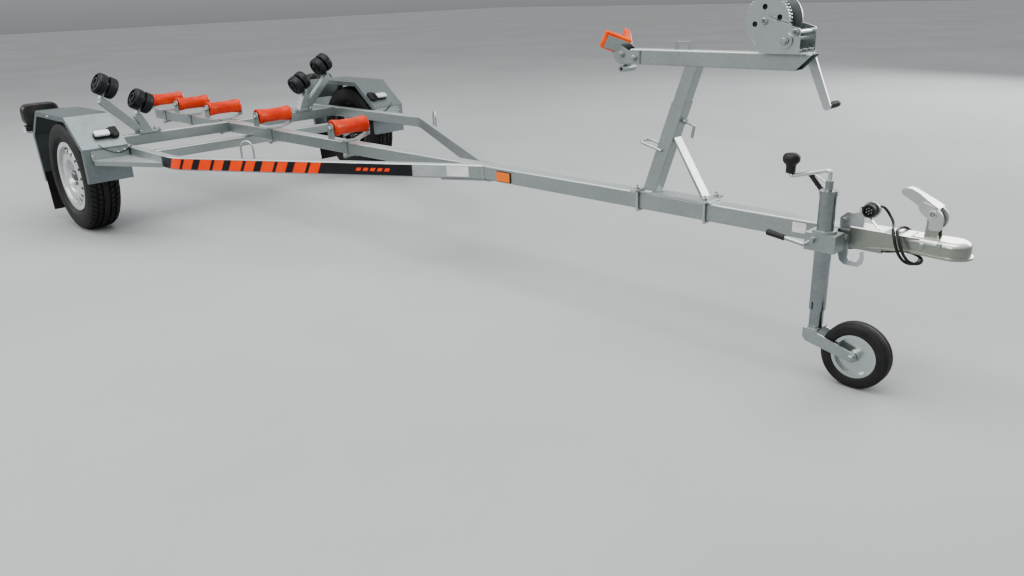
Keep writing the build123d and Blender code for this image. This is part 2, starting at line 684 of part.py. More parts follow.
def winch_frame():
    """Bent frame: floor, two side plates, the drum's axle and the tie rod."""
    x0, x1 = DRUM_X - 14, PINION_X + 43
    floor = block(x0, x1 + 8, -WINCH_PLATE_Y, WINCH_PLATE_Y, BEAM_TOP_Z, BEAM_TOP_Z + WINCH_PLATE)
    outline = [(x0, BEAM_TOP_Z), (x0, DRUM_Z - 4), (DRUM_X - 6, DRUM_Z + 11), (DRUM_X + 10, DRUM_Z + 10),
               (x1 - 4, TIE_ROD_Z + 10), (x1, TIE_ROD_Z + 5), (x1, BEAM_TOP_Z)]
    bore = Pos(PINION_X, PINION_Z) * Circle(8 + RUNNING_GAP)
    frame = floor
    for y0 in (-WINCH_PLATE_Y, WINCH_PLATE_Y - WINCH_PLATE):
        frame = frame + slab_xz(polygon(outline) - bore, y0, y0 + WINCH_PLATE)
    reach = WINCH_PLATE_Y + 8
    frame = frame + rod((DRUM_X, -reach, DRUM_Z), (DRUM_X, reach, DRUM_Z), DRUM_PIN)
    frame = frame + rod((x1 - 12, -reach, TIE_ROD_Z), (x1 - 12, reach, TIE_ROD_Z), 6)
    return frame


CRANK_BAR = 6.0
CRANK_STANDOFF = 14.0


def crank_end():
    a = math.radians(CRANK_ANGLE)
    return PINION_X + CRANK_LENGTH * math.cos(a), PINION_Z + CRANK_LENGTH * math.sin(a)


def winch_crank():
    """Pinion with its shaft through both plates and the crank arm on the far side."""
    centre = Pos(PINION_X, PINION_Z)
    first = centre_angle() + 180 + 180 / PINION_TEETH
    pinion = slab_xz(centre * gear_face(PINION_TEETH, first), GEAR_Y - 3, GEAR_Y + GEAR_WIDTH + 3)
    shaft = slab_xz(centre * Circle(8), -WINCH_PLATE_Y - 14, WINCH_PLATE_Y + 20)
    washer = slab_xz(centre * Circle(22), -WINCH_PLATE_Y - 6, -WINCH_PLATE_Y - 2)
    ex, ez = crank_end()
    y0 = WINCH_PLATE_Y + CRANK_STANDOFF
    bar = make_hull((centre * Circle(15)).edges() + (Pos(ex, ez) * Circle(12)).edges())
    arm = slab_xz(bar, y0, y0 + CRANK_BAR)
    return pinion + shaft + washer + arm


def crank_grip():
    ex, ez = crank_end()
    y0 = WINCH_PLATE_Y + CRANK_STANDOFF + CRANK_BAR
    profile = [(0, 0), (8, 0), (10, 6), (10.5, 50), (9, 72), (0, 76)]
    return turned(profile, ex, y0, ez)


# Jockey wheel

CLAMP_HALF_HEIGHT = 26.0


def jockey_clamp():
    """Clamp block on the drawbar's side, its collar and the locking handle."""
    x, y = JOCKEY_X, JOCKEY_Y
    outer = JOCKEY_TUBE_RADIUS + 6
    z0, z1 = 398.0, 398.0 + 2 * CLAMP_HALF_HEIGHT
    plan = Rectangle(92, 2 * outer)
    body = slab_xy(Pos(x, y) * plan, z0, z1)
    back = block(x - 46, x + 14, y + outer - 1, -TUBE / 2, z0, z1)
    collar = slab_xy(Pos(x, y) * Circle(outer + 4), z1 - 1, z1 + 8)
    bore = slab_xy(Pos(x, y) * Circle(JOCKEY_TUBE_RADIUS + RUNNING_GAP * 2), 300, 600)
    reach_y = y - outer - 14
    bolt = rod((x - 22, y - outer + 1, 430), (x - 22, reach_y, 430), 9)
    bar = bent_rod([(x - 22, reach_y + 5, 430), (x - 40, reach_y, 416), (x - 122, reach_y, 429)], 6, 12)
    handle = rod((x - 103, reach_y, 426), (x - 153, reach_y, 434), 8.5)
    return body + back + collar - bore + bolt + bar + handle


def jockey_tube():
    """Outer tube, its cap, and the inside sleeve that the leg slides in."""
    x, y = JOCKEY_X, JOCKEY_Y
    ring = Circle(JOCKEY_TUBE_RADIUS) - Circle(JOCKEY_TUBE_RADIUS - JOCKEY_TUBE_WALL)
    tube = slab_xy(Pos(x, y) * ring, JOCKEY_TUBE_BOTTOM, JOCKEY_TUBE_TOP)
    notch = block(x - 8, x + 8, y - 40, y + 40, JOCKEY_TUBE_BOTTOM - 1, JOCKEY_TUBE_BOTTOM + 26)
    cap = slab_xy(Pos(x, y) * Circle(JOCKEY_TUBE_RADIUS + 2), JOCKEY_TUBE_TOP, JOCKEY_TUBE_TOP + 14)
    neck = slab_xy(Pos(x, y) * Circle(11), JOCKEY_TUBE_TOP + 13, JOCKEY_TUBE_TOP + JOCKEY_NECK)
    return tube - notch + cap + neck


def jockey_crank():
    """Bent crank rod on top of the outer tube, its end turned up into the knob."""
    x, y = JOCKEY_X, JOCKEY_Y
    end_x, end_z = x - JOCKEY_CRANK_REACH, JOCKEY_CRANK_TOP - JOCKEY_CRANK_DROP
    foot = (x, y, JOCKEY_TUBE_TOP + JOCKEY_NECK)
    line = [foot, (x, y, JOCKEY_CRANK_TOP), (end_x, y, end_z), (end_x, y, end_z + 34)]
    return bent_rod(line, JOCKEY_CRANK_ROD, 8)


def jockey_knob():
    """Mushroom grip on the crank's upturned end."""
    bore, pin = JOCKEY_CRANK_ROD, 24
    profile = [(bore, 0), (14, 0), (14, 24), (24, 32), (25, 50), (21, 57), (0, 57), (0, pin), (bore, pin)]
    grip = Rot(90, 0, 0) * revolve(polygon(profile), Axis.Y, 360)
    base_z = JOCKEY_CRANK_TOP - JOCKEY_CRANK_DROP + 34 - pin
    return Pos(JOCKEY_X - JOCKEY_CRANK_REACH, JOCKEY_Y, base_z) * grip


LEG_RADIUS = JOCKEY_TUBE_RADIUS - JOCKEY_TUBE_WALL - 0.5
LEG_BOTTOM = 158.0
LEG_TOP = 400.0
SWIVEL_PIN = 12.0


def jockey_leg():
    """Inner tube that the crank raises and lowers; the fork swivels in its foot."""
    x, y = JOCKEY_X, JOCKEY_Y
    leg = slab_xy(Pos(x, y) * Circle(LEG_RADIUS), LEG_BOTTOM, LEG_TOP)
    return leg - slab_xy(Pos(x, y) * Circle(SWIVEL_PIN + RUNNING_GAP), LEG_BOTTOM - 1, LEG_BOTTOM + 61)


FORK_HALF = 34.0
FORK_SHEET = 4.0
WHEEL_PIN = 6.0


def jockey_fork():
    """Crown with its swivel pin and the two arms that carry the wheel's pin."""
    x, y = JOCKEY_X, JOCKEY_Y
    gap = 1.0
    top = LEG_BOTTOM - gap
    pin = slab_xy(Pos(x, y) * Circle(SWIVEL_PIN), top - 4, LEG_BOTTOM + 60)
    crown = block(x - 24, x + 20, y - FORK_HALF, y + FORK_HALF, top - 5, top)
    arm = make_hull((Pos(x - 4, top - 22) * Circle(20)).edges()
                    + (Pos(JOCKEY_WHEEL_X, JOCKEY_WHEEL_RADIUS) * Circle(15)).edges())
    fork = pin + crown
    web = polygon([(x - 24, top), (x + 20, top), (x + 16, top - 30), (x - 24, top - 30)])
    for y0 in (y - FORK_HALF, y + FORK_HALF - FORK_SHEET):
        fork = fork + slab_xz(arm, y0, y0 + FORK_SHEET) + slab_xz(web, y0, y0 + FORK_SHEET)
    reach = FORK_HALF + 7
    wheel_x, wheel_z = JOCKEY_WHEEL_X, JOCKEY_WHEEL_RADIUS
    axle = rod((wheel_x, y - reach, wheel_z), (wheel_x, y + reach, wheel_z), WHEEL_PIN)
    return fork + axle


def jockey_rim():
    profile = [(WHEEL_PIN + RUNNING_GAP, -26), (16, -26), (18, -8), (52, -8), (56, -22), (66, -22),
               (66, 22), (56, 22), (52, 8), (18, 8), (16, 26), (WHEEL_PIN + RUNNING_GAP, 26)]
    return turned(profile, JOCKEY_WHEEL_X, JOCKEY_Y, JOCKEY_WHEEL_RADIUS)


def jockey_tyre():
    half = JOCKEY_WHEEL_WIDTH / 2
    r = JOCKEY_WHEEL_RADIUS
    profile = [(66, -22), (70, -half), (r - 9, -half), (r - 2, -half + 8), (r, -half + 18),
               (r, half - 18), (r - 2, half - 8), (r - 9, half), (70, half), (66, 22)]
    return turned(profile, JOCKEY_WHEEL_X, JOCKEY_Y, JOCKEY_WHEEL_RADIUS)


# Coupling

def coupling_body():
    """Pressed coupling: channel over the drawbar's end, ball housing and handle ears."""
    half = TUBE / 2 + COUPLING_WALL
    top_z = FRAME_TOP + COUPLING_WALL
    low_z = LIP_HEAD_Z + LIP_SHEET - 1
    rear_x, bend_x, head_x = COUPLING_REAR_X, BALL_X - 78, BALL_X - 113
    side = polygon([(rear_x, LIP_REAR_Z + 2), (rear_x + 50, LIP_REAR_Z + 2), (bend_x, low_z),
                    (bend_x, top_z), (rear_x, top_z)])
    channel = slab_xz(side, -half, half)
    inside = TUBE / 2
    channel = channel - block(rear_x - 1, DRAWBAR_FRONT_X + 60, -inside, inside, 300, FRAME_TOP)
    plan = make_hull((Pos(BALL_X, 0) * Circle(NOSE_X - COUPLING_LIP - BALL_X)).edges()
                     + (Pos(head_x + 10, 0) * Rectangle(20, 2 * half)).edges())
    head = slab_xy(plan, low_z, top_z + 2)
    head = fillet(head.faces().sort_by(Axis.Z)[-1].edges(), COUPLING_DOME)
    lip = slab_xy(offset(plan, COUPLING_LIP), LIP_HEAD_Z, LIP_HEAD_Z + LIP_SHEET)
    edge = polygon([(rear_x + 50, LIP_REAR_Z), (head_x + 2, LIP_HEAD_Z),
                    (head_x + 2, LIP_HEAD_Z + LIP_SHEET), (rear_x + 50, LIP_REAR_Z + LIP_SHEET)])
    outer = half + COUPLING_LIP
    rear_lips = [slab_xz(edge, y0, y1) for y0, y1 in ((-outer, -inside), (inside, outer))]
    socket = Pos(BALL_X, 0, BALL_Z) * Sphere(BALL_RADIUS + BALL_GAP)
    mouth = slab_xy(Pos(BALL_X, 0) * Circle(BALL_RADIUS + BALL_GAP), LIP_HEAD_Z - 10, BALL_Z)
    hx, hz = HANDLE_X, HANDLE_Z
    ear_half = HANDLE_HALF + EAR_GAP + EAR_SHEET
    ear_foot = Pos(hx + 1, top_z) * Rectangle(36, 8)
    ear_line = make_hull((Pos(hx, hz) * Circle(12)).edges() + ear_foot.edges())
    ears = slab_xz(ear_line, -ear_half, ear_half)
    ears = ears - block(hx - 60, hx + 60, -HANDLE_HALF - EAR_GAP, HANDLE_HALF + EAR_GAP, top_z + 2, hz + 40)
    pin = rod((hx, -ear_half - 5, hz), (hx, ear_half + 5, hz), HANDLE_PIN)
    solid = channel + head + lip + rear_lips[0] + rear_lips[1] - socket - mouth
    return solid + ears + pin


# Circles along the lever, about its pin: place and radius
LEVER_LINE = ((-84, 48, 8), (-72, 44, 10), (-40, 24.5, 10.5), (-4, 3, 13.5), (2, -22, 19), (3, -42, 15))


def coupling_handle():
    """Curved lever on the ears' pin, its grip running back over the coupling."""
    outline = None
    for one, two in zip(LEVER_LINE, LEVER_LINE[1:]):
        ends = [(Pos(x, z) * Circle(r)).edges() for x, z, r in (one, two)]
        span = make_hull(ends[0] + ends[1])
        outline = span if outline is None else outline + span
    lever = slab_xz(Pos(HANDLE_X, HANDLE_Z) * outline, -HANDLE_HALF, HANDLE_HALF)
    bore = slab_xz(Pos(HANDLE_X, HANDLE_Z) * Circle(HANDLE_PIN + RUNNING_GAP), -30, 30)
    return lever - bore


HOOK_SHEET = 5.0
HOLDER_SHEET = 4.0


def plug_holder():
    """Folded plate on the drawbar with the ring that holds the plug."""
    x0, x1 = 3735.0, 3805.0
    z0, z1 = FRAME_TOP, FRAME_TOP + 48
    y1 = -TUBE / 2
    y0 = y1 - HOLDER_SHEET
    foot = block(x0, COUPLING_REAR_X - 2, y0, y1 + 30, z0, z0 + HOLDER_SHEET)
    outline = polygon([(x0, z0), (x0, z1 - 18), (x0 + 20, z1), (x1 - 14, z1), (x1, z1 - 14),
                       (x1, z0 + COUPLING_WALL + 4), (COUPLING_REAR_X - 2, z0 + COUPLING_WALL + 4),
                       (COUPLING_REAR_X - 2, z0)])
    px, _, pz = PLUG_CENTRE
    tongue = polygon([(x1 - 30, z1 - 30), (px - 10, z1 - 6), (px - 4, pz - 18), (px - 20, pz - 4),
                      (x1 - 30, z1 - 1)])
    plate = slab_xz(outline, y0, y1) + slab_xz(tongue, y0, y1)
    ring = Pos(px, pz) * Circle(PLUG_RADIUS + 5)
    hole = Pos(px, pz) * Circle(PLUG_RADIUS + 0.3)
    return foot + plate + slab_xz(ring, y0, y1) - slab_xz(hole, y0 - 1, y1 + 1)


def hook_strap():
    """Flat steel hook on the drawbar's near side, its tip turned up under the coupling."""
    x0, x1 = 3739.0, 3767.0
    y0, y1 = -TUBE / 2 - HOOK_SHEET, -TUBE / 2
    outline = [(x0, 448), (x0, 372), (x0 + 5, 356), (x0 + 20, 345), (x0 + 60, 344), (x0 + 73, 355),
               (x0 + 76, 372), (x0 + 72, 392), (x0 + 64, 390), (x0 + 64, 370), (x0 + 56, 359),
               (x1 + 6, 359), (x1, 370), (x1, 448)]
    return slab_xz(polygon(outline), y0, y1)


def side_reflectors():
    return both_sides(block(2290, 2350, -TUBE / 2 - 6, -TUBE / 2, 403, 443))


# Road wheels

def tyre():
    """Tyre body; its beads sit on the rim's shoulders."""
    half = TYRE_WIDTH / 2
    r = TYRE_RADIUS
    bead = RIM_WELL_RADIUS + 12
    seat = RIM_HALF_WIDTH - 6
    profile = [(bead, -seat), (RIM_FLANGE_RADIUS, -seat), (RIM_FLANGE_RADIUS + 20, -half + 8),
               (225, -half), (250, -half + 2), (r - 12, -half + 12), (r - 3, -half + 26), (r, 0),
               (r - 3, half - 26), (r - 12, half - 12), (250, half - 2), (225, half),
               (RIM_FLANGE_RADIUS + 20, half - 8), (RIM_FLANGE_RADIUS, seat), (bead, seat)]
    return turned(profile, 0, -TRACK / 2, TYRE_RADIUS)


VENT_COUNT = 16
CENTRE_HOLE = 30.0


def rim():
    """Steel rim with its dished centre and ring of vent holes; outboard is -Y."""
    half, seat = RIM_HALF_WIDTH, RIM_HALF_WIDTH - 6
    bead = RIM_WELL_RADIUS + 12
    w = 4.0
    well = RIM_WELL_RADIUS
    barrel = [(RIM_FLANGE_RADIUS, -half), (RIM_FLANGE_RADIUS, -seat), (bead, -seat), (bead, -seat + 22),
              (well, -seat + 34), (well, seat - 34), (bead, seat - 22), (bead, seat),
              (RIM_FLANGE_RADIUS, seat), (RIM_FLANGE_RADIUS, half), (bead - w, half), (bead - w, seat - 24),
              (well - w, seat - 36), (well - w, -seat + 36), (bead - w, -seat + 24), (bead - w, -half)]
    o = -WHEEL_OFFSET
    edge = well - w + 1
    disc = [(CENTRE_HOLE, o), (70, o), (92, o - 16), (112, o - 16), (edge, o + 8), (edge, o + 16),
            (112, o - 11), (92, o - 11), (70, o + 5), (CENTRE_HOLE, o + 5)]
    disc = [(r, y - 5) for r, y in disc]
    solid = revolve(polygon(barrel), Axis.Y, 360) + revolve(polygon(disc), Axis.Y, 360)
    vent = Plane.XZ * (Pos(129, 0) * SlotCenterToCenter(12, 13))
    for k in range(VENT_COUNT):
        cut = extrude(Rot(0, 360 / VENT_COUNT * k, 0) * vent, amount=80, both=True)
        solid = solid - cut
    return Pos(0, -TRACK / 2, TYRE_RADIUS) * solid


def hub():
    """Hub on the spindle: flange against the rim's centre and the grease cap."""
    o = -WHEEL_OFFSET
    bore = HUB_BORE_RADIUS + RUNNING_GAP
    end = -HUB_END_T
    profile = [(bore, -HUB_INNER_T), (30, -HUB_INNER_T), (33, -10), (33, o + 12), (60, o + 12), (60, o),
               (CENTRE_HOLE - 1, o), (CENTRE_HOLE - 2, o - 12), (24, end - 14), (18, end - 18),
               (0, end - 18), (0, end - 2), (bore, end - 2)]
    return turned(profile, 0, -TRACK / 2, TYRE_RADIUS)


# Plug and cable


def plug():
    """Trailer plug, its pin face turned to the near side."""
    x, y, z = PLUG_CENTRE
    r = PLUG_RADIUS
    profile = [(0, -26), (r, -26), (r, 0.3), (r + 3, 0.3), (r + 3, 10), (15, 14), (13, 32),
               (7, PLUG_LENGTH), (0, PLUG_LENGTH)]
    return Pos(x, y, z) * revolve(polygon(profile), Axis.Y, 360)


def cable_gland():
    profile = [(0, 0), (11, 0), (11, -3), (8, -5), (7, -GLAND_HEIGHT), (0, -GLAND_HEIGHT)]
    upright = revolve(make_face(Plane.XZ * Polyline(*profile, close=True)), Axis.Z, 360)
    return Pos(GLAND_X, GLAND_Y, FRAME_BOTTOM) * upright


# The cable's route: from the plug twice round the coupling and back under it to the gland
CABLE_ROUTE = (
    (3822, 10, 520), (3822, 34, 519), (3829, 55, 506), (3840, 62, 487), (3855, 51, 473),
    (3867, 26, 467), (3877, -4, 468), (3887, -34, 473), (3898, -51, 458), (3905, -53, 434),
    (3915, -52, 410), (3931, -46, 389), (3950, -27, 381), (3955, 4, 383), (3946, 34, 388),
    (3931, 51, 405), (3916, 56, 432), (3903, 51, 458), (3894, 29, 470), (3890, -4, 468),
    (3898, -34, 472), (3910, -53, 459), (3919, -56, 434), (3931, -55, 410), (3948, -51, 391),
    (3967, -30, 386), (3966, 2, 392), (3940, 13, 400), (3907, 16, 403), (3880, 19, 395),
    (3850, 18, 389), (3815, 21, 388), (3780, 20, 386), (3748, 22, 381), (3724, 21, 369),
    (3708, 22, 366), (3700, 22, 374), (3700, 22, 385),
)


def corner_radii(points):
    """Radius of the arc at each corner: as large as its two runs allow."""
    spots = [Vector(*p) for p in points]
    radii = []
    for a, b, c in zip(spots, spots[1:], spots[2:]):
        turn = math.radians((b - a).get_angle(c - b))
        radii.append(0.45 * min((b - a).length, (c - b).length) / math.tan(turn / 2))
    return radii


def cable():
    radii = corner_radii(CABLE_ROUTE)
    path = FilletPolyline(*CABLE_ROUTE, radius=radii)
    tube = sweep(Plane(origin=path @ 0, z_dir=path % 0) * Circle(CABLE_RADIUS), path=path)
    section = math.pi * CABLE_RADIUS ** 2
    print("cable radii", [round(r) for r in radii])
    print("cable length", round(path.length), "volume ratio", round(tube.volume / section / path.length, 4))
    return tube


def nodes():
    """Every node of the trailer: name and solid, about the ground point under the axle."""
    table = {
        "keel_beam": keel_beam(),
        "side_rail_right": side_rail(),
        "crossbeam": both_sides(crossbeam()),
        "junction_plate": junction_plate(),
        "axle_beam": axle_beam(),
        "suspension_arms": both_sides(suspension_arm()),
        "fender_right": fender(),
        "fender_brackets": both_sides(fender_bracket()),
        "mud_flaps": both_sides(mud_flap()),
        "lamp_brackets": lamp_brackets(),
        "tail_lamps": both_sides(tail_lamp()),
        "marker_lamps": both_sides(marker_lamp()),
        "keel_brackets": keel_brackets(),
        "bilge_supports": both_sides(bilge_support()),
        "post_base": post_base(),
        "post_sleeve": post_sleeve(),
        "winch_post": winch_post(),
        "bow_stop_bracket": bow_stop_bracket(),
        "bow_stop": bow_stop(),
        "winch_frame": winch_frame(),
        "winch_drum": winch_drum(),
        "strap_coil": strap_coil(),
        "winch_crank": winch_crank(),
        "crank_grip": crank_grip(),
        "jockey_clamp": jockey_clamp(),
        "jockey_tube": jockey_tube(),
        "jockey_crank": jockey_crank(),
        "jockey_knob": jockey_knob(),
        "jockey_leg": jockey_leg(),
        "jockey_fork": jockey_fork(),
        "jockey_rim": jockey_rim(),
        "jockey_tyre": jockey_tyre(),
        "coupling_body": coupling_body(),
        "coupling_handle": coupling_handle(),
        "plug_holder": plug_holder(),
        "hook_strap": hook_strap(),
        "side_reflectors": side_reflectors(),
        "plug": plug(),
        "cable_gland": cable_gland(),
        "cable": cable(),
    }
    table["side_rail_left"] = left(table["side_rail_right"])
    table["fender_left"] = left(table["fender_right"])
    for name, solid in (("tyre", tyre()), ("rim", rim()), ("hub", hub())):
        table[name + "_right"] = solid
        table[name + "_left"] = left(solid)
    for number, x in enumerate(KEEL_ROLLER_X, start=1):
        table[f"keel_roller_{number}"] = keel_roller(x)
    for side in ("right", "left"):
        table[f"bilge_roller_{side}_outer"] = bilge_roller(BILGE_OUTER_Y, BILGE_OUTER_Z, side)
        table[f"bilge_roller_{side}_inner"] = bilge_roller(BILGE_INNER_Y, BILGE_INNER_Z, side)
    return table


def main():
    os.makedirs("parts", exist_ok=True)
    shift = Pos(-(KEEL_REAR_X + NOSE_X) / 2, 0, 0)
    for name, solid in nodes().items():
        export_step(shift * solid, f"parts/{name}.step")


main()
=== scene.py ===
import math

import bmesh
import bpy
from mathutils import Matrix, Vector


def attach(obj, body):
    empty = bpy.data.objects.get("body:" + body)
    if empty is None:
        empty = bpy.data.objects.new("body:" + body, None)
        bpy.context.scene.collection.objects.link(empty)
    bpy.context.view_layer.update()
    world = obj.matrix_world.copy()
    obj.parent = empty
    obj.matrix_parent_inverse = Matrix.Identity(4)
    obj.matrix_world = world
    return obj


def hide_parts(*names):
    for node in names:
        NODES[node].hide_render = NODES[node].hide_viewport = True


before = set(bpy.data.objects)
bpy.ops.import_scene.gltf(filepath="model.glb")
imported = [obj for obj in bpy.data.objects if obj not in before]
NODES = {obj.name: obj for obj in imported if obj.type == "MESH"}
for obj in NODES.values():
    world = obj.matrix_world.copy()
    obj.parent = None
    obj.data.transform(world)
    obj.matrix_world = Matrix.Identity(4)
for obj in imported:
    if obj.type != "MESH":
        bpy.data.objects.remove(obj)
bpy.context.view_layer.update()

# Pieces are placed in millimetres from the ground point under the axle, as the part's source does
AXLE_TO_ORIGIN = 1515.0


def at(x, y, z):
    """Millimetres from the ground point under the axle, as metres in the row frame."""
    return Vector(((x - AXLE_TO_ORIGIN) / 1000, y / 1000, z / 1000))


# Camera and light

CAMERA_PLACE = Vector((3.1908, -2.3499, 1.1414))
CAMERA_YAW = 0.7920
CAMERA_PITCH = 0.3480
CAMERA_ROLL = -0.0356
LENS_MM = 28.91


def make_camera():
    """Camera at the photograph's place; the picture is 1024 by 576."""
    yaw, pitch, roll = CAMERA_YAW, CAMERA_PITCH, CAMERA_ROLL
    ahead = Vector((-math.sin(yaw) * math.cos(pitch), math.cos(yaw) * math.cos(pitch), -math.sin(pitch)))
    level = ahead.cross(Vector((0, 0, 1))).normalized()
    upright = level.cross(ahead)
    right = math.cos(roll) * level + math.sin(roll) * upright
    up = -math.sin(roll) * level + math.cos(roll) * upright
    data = bpy.data.cameras.new("camera")
    data.lens = LENS_MM
    data.sensor_width = 36.0
    data.clip_end = 100.0
    camera = bpy.data.objects.new("camera", data)
    turn = Matrix((right, up, -ahead)).transposed()
    camera.matrix_world = Matrix.Translation(CAMERA_PLACE) @ turn.to_4x4()
    bpy.context.scene.collection.objects.link(camera)
    bpy.context.scene.camera = camera


def make_light(name, place, aim, size, power, tint="#ffffff"):
    """Soft rectangular light aimed at a point; metres and watts."""
    data = bpy.data.lights.new(name, "AREA")
    data.shape = "RECTANGLE"
    data.size, data.size_y = size
    data.energy = power
    data.color = colour(tint)[:3]
    light = bpy.data.objects.new(name, data)
    light.location = place
    light.rotation_euler = (Vector(aim) - Vector(place)).to_track_quat("-Z", "Y").to_euler()
    bpy.context.scene.collection.objects.link(light)


def colour(code):
    """sRGB hex code as a linear colour."""
    values = [int(code[i:i + 2], 16) / 255 for i in (1, 3, 5)]
    linear = [v / 12.92 if v <= 0.04045 else ((v + 0.055) / 1.055) ** 2.4 for v in values]
    return (*linear, 1.0)


# Nodes

def add(tree, kind, inputs=None, stops=None, **settings):
    """One node with its settings, and its inputs as values or as the sockets that feed them."""
    node = tree.nodes.new(kind)
    for name, value in settings.items():
        setattr(node, name, value)
    for name, value in (inputs or {}).items():
        if isinstance(value, bpy.types.NodeSocket):
            tree.links.new(value, node.inputs[name])
        else:
            node.inputs[name].default_value = value
    if stops:
        elements = node.color_ramp.elements
        for element, (place, tone) in zip([elements[0], elements[1]], stops[:2]):
            element.position, element.color = place, tone
        for place, tone in stops[2:]:
            elements.new(place).color = tone
    return node


def new_material(name):
    """Empty material: its tree, its surface shader and its Object coordinates."""
    material = bpy.data.materials.new(name)
    material.use_nodes = True
    tree = material.node_tree
    surface = tree.nodes["Principled BSDF"]
    coordinates = add(tree, "ShaderNodeTexCoord").outputs["Object"]
    return material, tree, surface, coordinates


def link(tree, output, surface, name):
    """A node's output into one of the surface shader's inputs."""
    tree.links.new(output, surface.inputs[name])


# Width of the ripples in a zinc skin
RIPPLE_MM = 3.5


def zinc_coat(name, dark, light, spangle_mm, patch_mm, roughness, metallic=0.85, stain="#8a8578",
              stain_amount=0.2, contrast=0.35, top_highlight=None):
    """Zinc on steel: small crystals and wide, faint patches of zinc salts, with stains in the widest ones.
    The top highlight is a painted highlight: faces that point up are drawn in a paler tone."""
    material, tree, surface, coordinates = new_material(name)
    crystals = add(tree, "ShaderNodeTexVoronoi", {"Vector": coordinates, "Scale": 1000 / spangle_mm})
    tone = add(tree, "ShaderNodeRGBToBW", {"Color": crystals.outputs["Color"]})
    patches = add(tree, "ShaderNodeTexNoise", {"Vector": coordinates, "Scale": 1000 / patch_mm, "Detail": 3.0,
                                               "Roughness": 0.5})
    blend = add(tree, "ShaderNodeMix", {"Factor": contrast, 2: patches.outputs["Fac"], 3: tone.outputs[0]})
    metal = add(tree, "ShaderNodeValToRGB", {"Fac": blend.outputs[0]},
                [(0.15, colour(dark)), (0.85, colour(light))])
    shown = metal.outputs["Color"]
    # Painted highlight: faces that point up are mixed towards a paler tone
    if top_highlight:
        facing = add(tree, "ShaderNodeNewGeometry").outputs["Normal"]
        upward = add(tree, "ShaderNodeSeparateXYZ", {"Vector": facing}).outputs["Z"]
        top_share = add(tree, "ShaderNodeMapRange", {"Value": upward, "From Min": 0.15, "From Max": 0.8,
                                                    "To Max": 0.85})
        shown = add(tree, "ShaderNodeMix", {"Factor": top_share.outputs[0], 6: shown, 7: colour(top_highlight)},
                    data_type="RGBA").outputs[2]
    dirt = add(tree, "ShaderNodeTexNoise", {"Vector": coordinates, "Scale": 1000 / (patch_mm * 2.3),
                                            "Detail": 8.0, "Roughness": 0.7})
    amount = add(tree, "ShaderNodeValToRGB", {"Fac": dirt.outputs["Fac"]},
                 [(0.52, (0, 0, 0, 1)), (0.78, (stain_amount, stain_amount, stain_amount, 1))])
    mixed = add(tree, "ShaderNodeMix", {"Factor": amount.outputs["Color"], 6: shown, 7: colour(stain)},
                data_type="RGBA")
    link(tree, mixed.outputs[2], surface, "Base Color")
    rough = add(tree, "ShaderNodeMapRange", {"Value": blend.outputs[0], "To Min": roughness + 0.06,
                                             "To Max": roughness - 0.04})
    link(tree, rough.outputs[0], surface, "Roughness")
    surface.inputs["Metallic"].default_value = metallic
    grain = add(tree, "ShaderNodeTexNoise", {"Vector": coordinates, "Scale": 1000 / RIPPLE_MM, "Detail": 2.0})
    bump = add(tree, "ShaderNodeBump", {"Height": grain.outputs["Fac"], "Strength": 0.08, "Distance": 0.0004})
    link(tree, bump.outputs[0], surface, "Normal")
    return material


def moulded(name, dark, light, patch_mm, roughness, grain_mm, grain_depth_mm, dust="#7d776c",
            dust_amount=0.15, metallic=0.0, coat=0.0):
    """Rubber, plastic or paint: a colour that varies a little, a fine moulded grain, and a film of dust."""
    material, tree, surface, coordinates = new_material(name)
    patches = add(tree, "ShaderNodeTexNoise", {"Vector": coordinates, "Scale": 1000 / patch_mm,
                                               "Detail": 5.0})
    base = add(tree, "ShaderNodeValToRGB", {"Fac": patches.outputs["Fac"]},
               [(0.35, colour(dark)), (0.68, colour(light))])
    film = add(tree, "ShaderNodeTexNoise", {"Vector": coordinates, "Scale": 1000 / (patch_mm * 1.7),
                                            "Detail": 9.0, "Roughness": 0.7})
    amount = add(tree, "ShaderNodeValToRGB", {"Fac": film.outputs["Fac"]},
                 [(0.42, (0, 0, 0, 1)), (0.75, (dust_amount, dust_amount, dust_amount, 1))])
    mixed = add(tree, "ShaderNodeMix", {"Factor": amount.outputs["Color"], 6: base.outputs["Color"],
                                        7: colour(dust)}, data_type="RGBA")
    link(tree, mixed.outputs[2], surface, "Base Color")
    rough = add(tree, "ShaderNodeMapRange", {"Value": film.outputs["Fac"], "From Min": 0.3, "From Max": 0.7,
                                             "To Min": roughness - 0.06, "To Max": roughness + 0.10})
    link(tree, rough.outputs[0], surface, "Roughness")
    surface.inputs["Metallic"].default_value = metallic
    surface.inputs["Coat Weight"].default_value = coat
    grain = add(tree, "ShaderNodeTexNoise", {"Vector": coordinates, "Scale": 1000 / grain_mm, "Detail": 3.0})
    bump = add(tree, "ShaderNodeBump", {"Height": grain.outputs["Fac"], "Strength": 0.5,
                                        "Distance": grain_depth_mm / 1000})
    link(tree, bump.outputs[0], surface, "Normal")
    return material


def bands(size_mm):
    """Scale of a wave texture whose bands are this far apart."""
    return 1000 / size_mm / 20 * math.pi


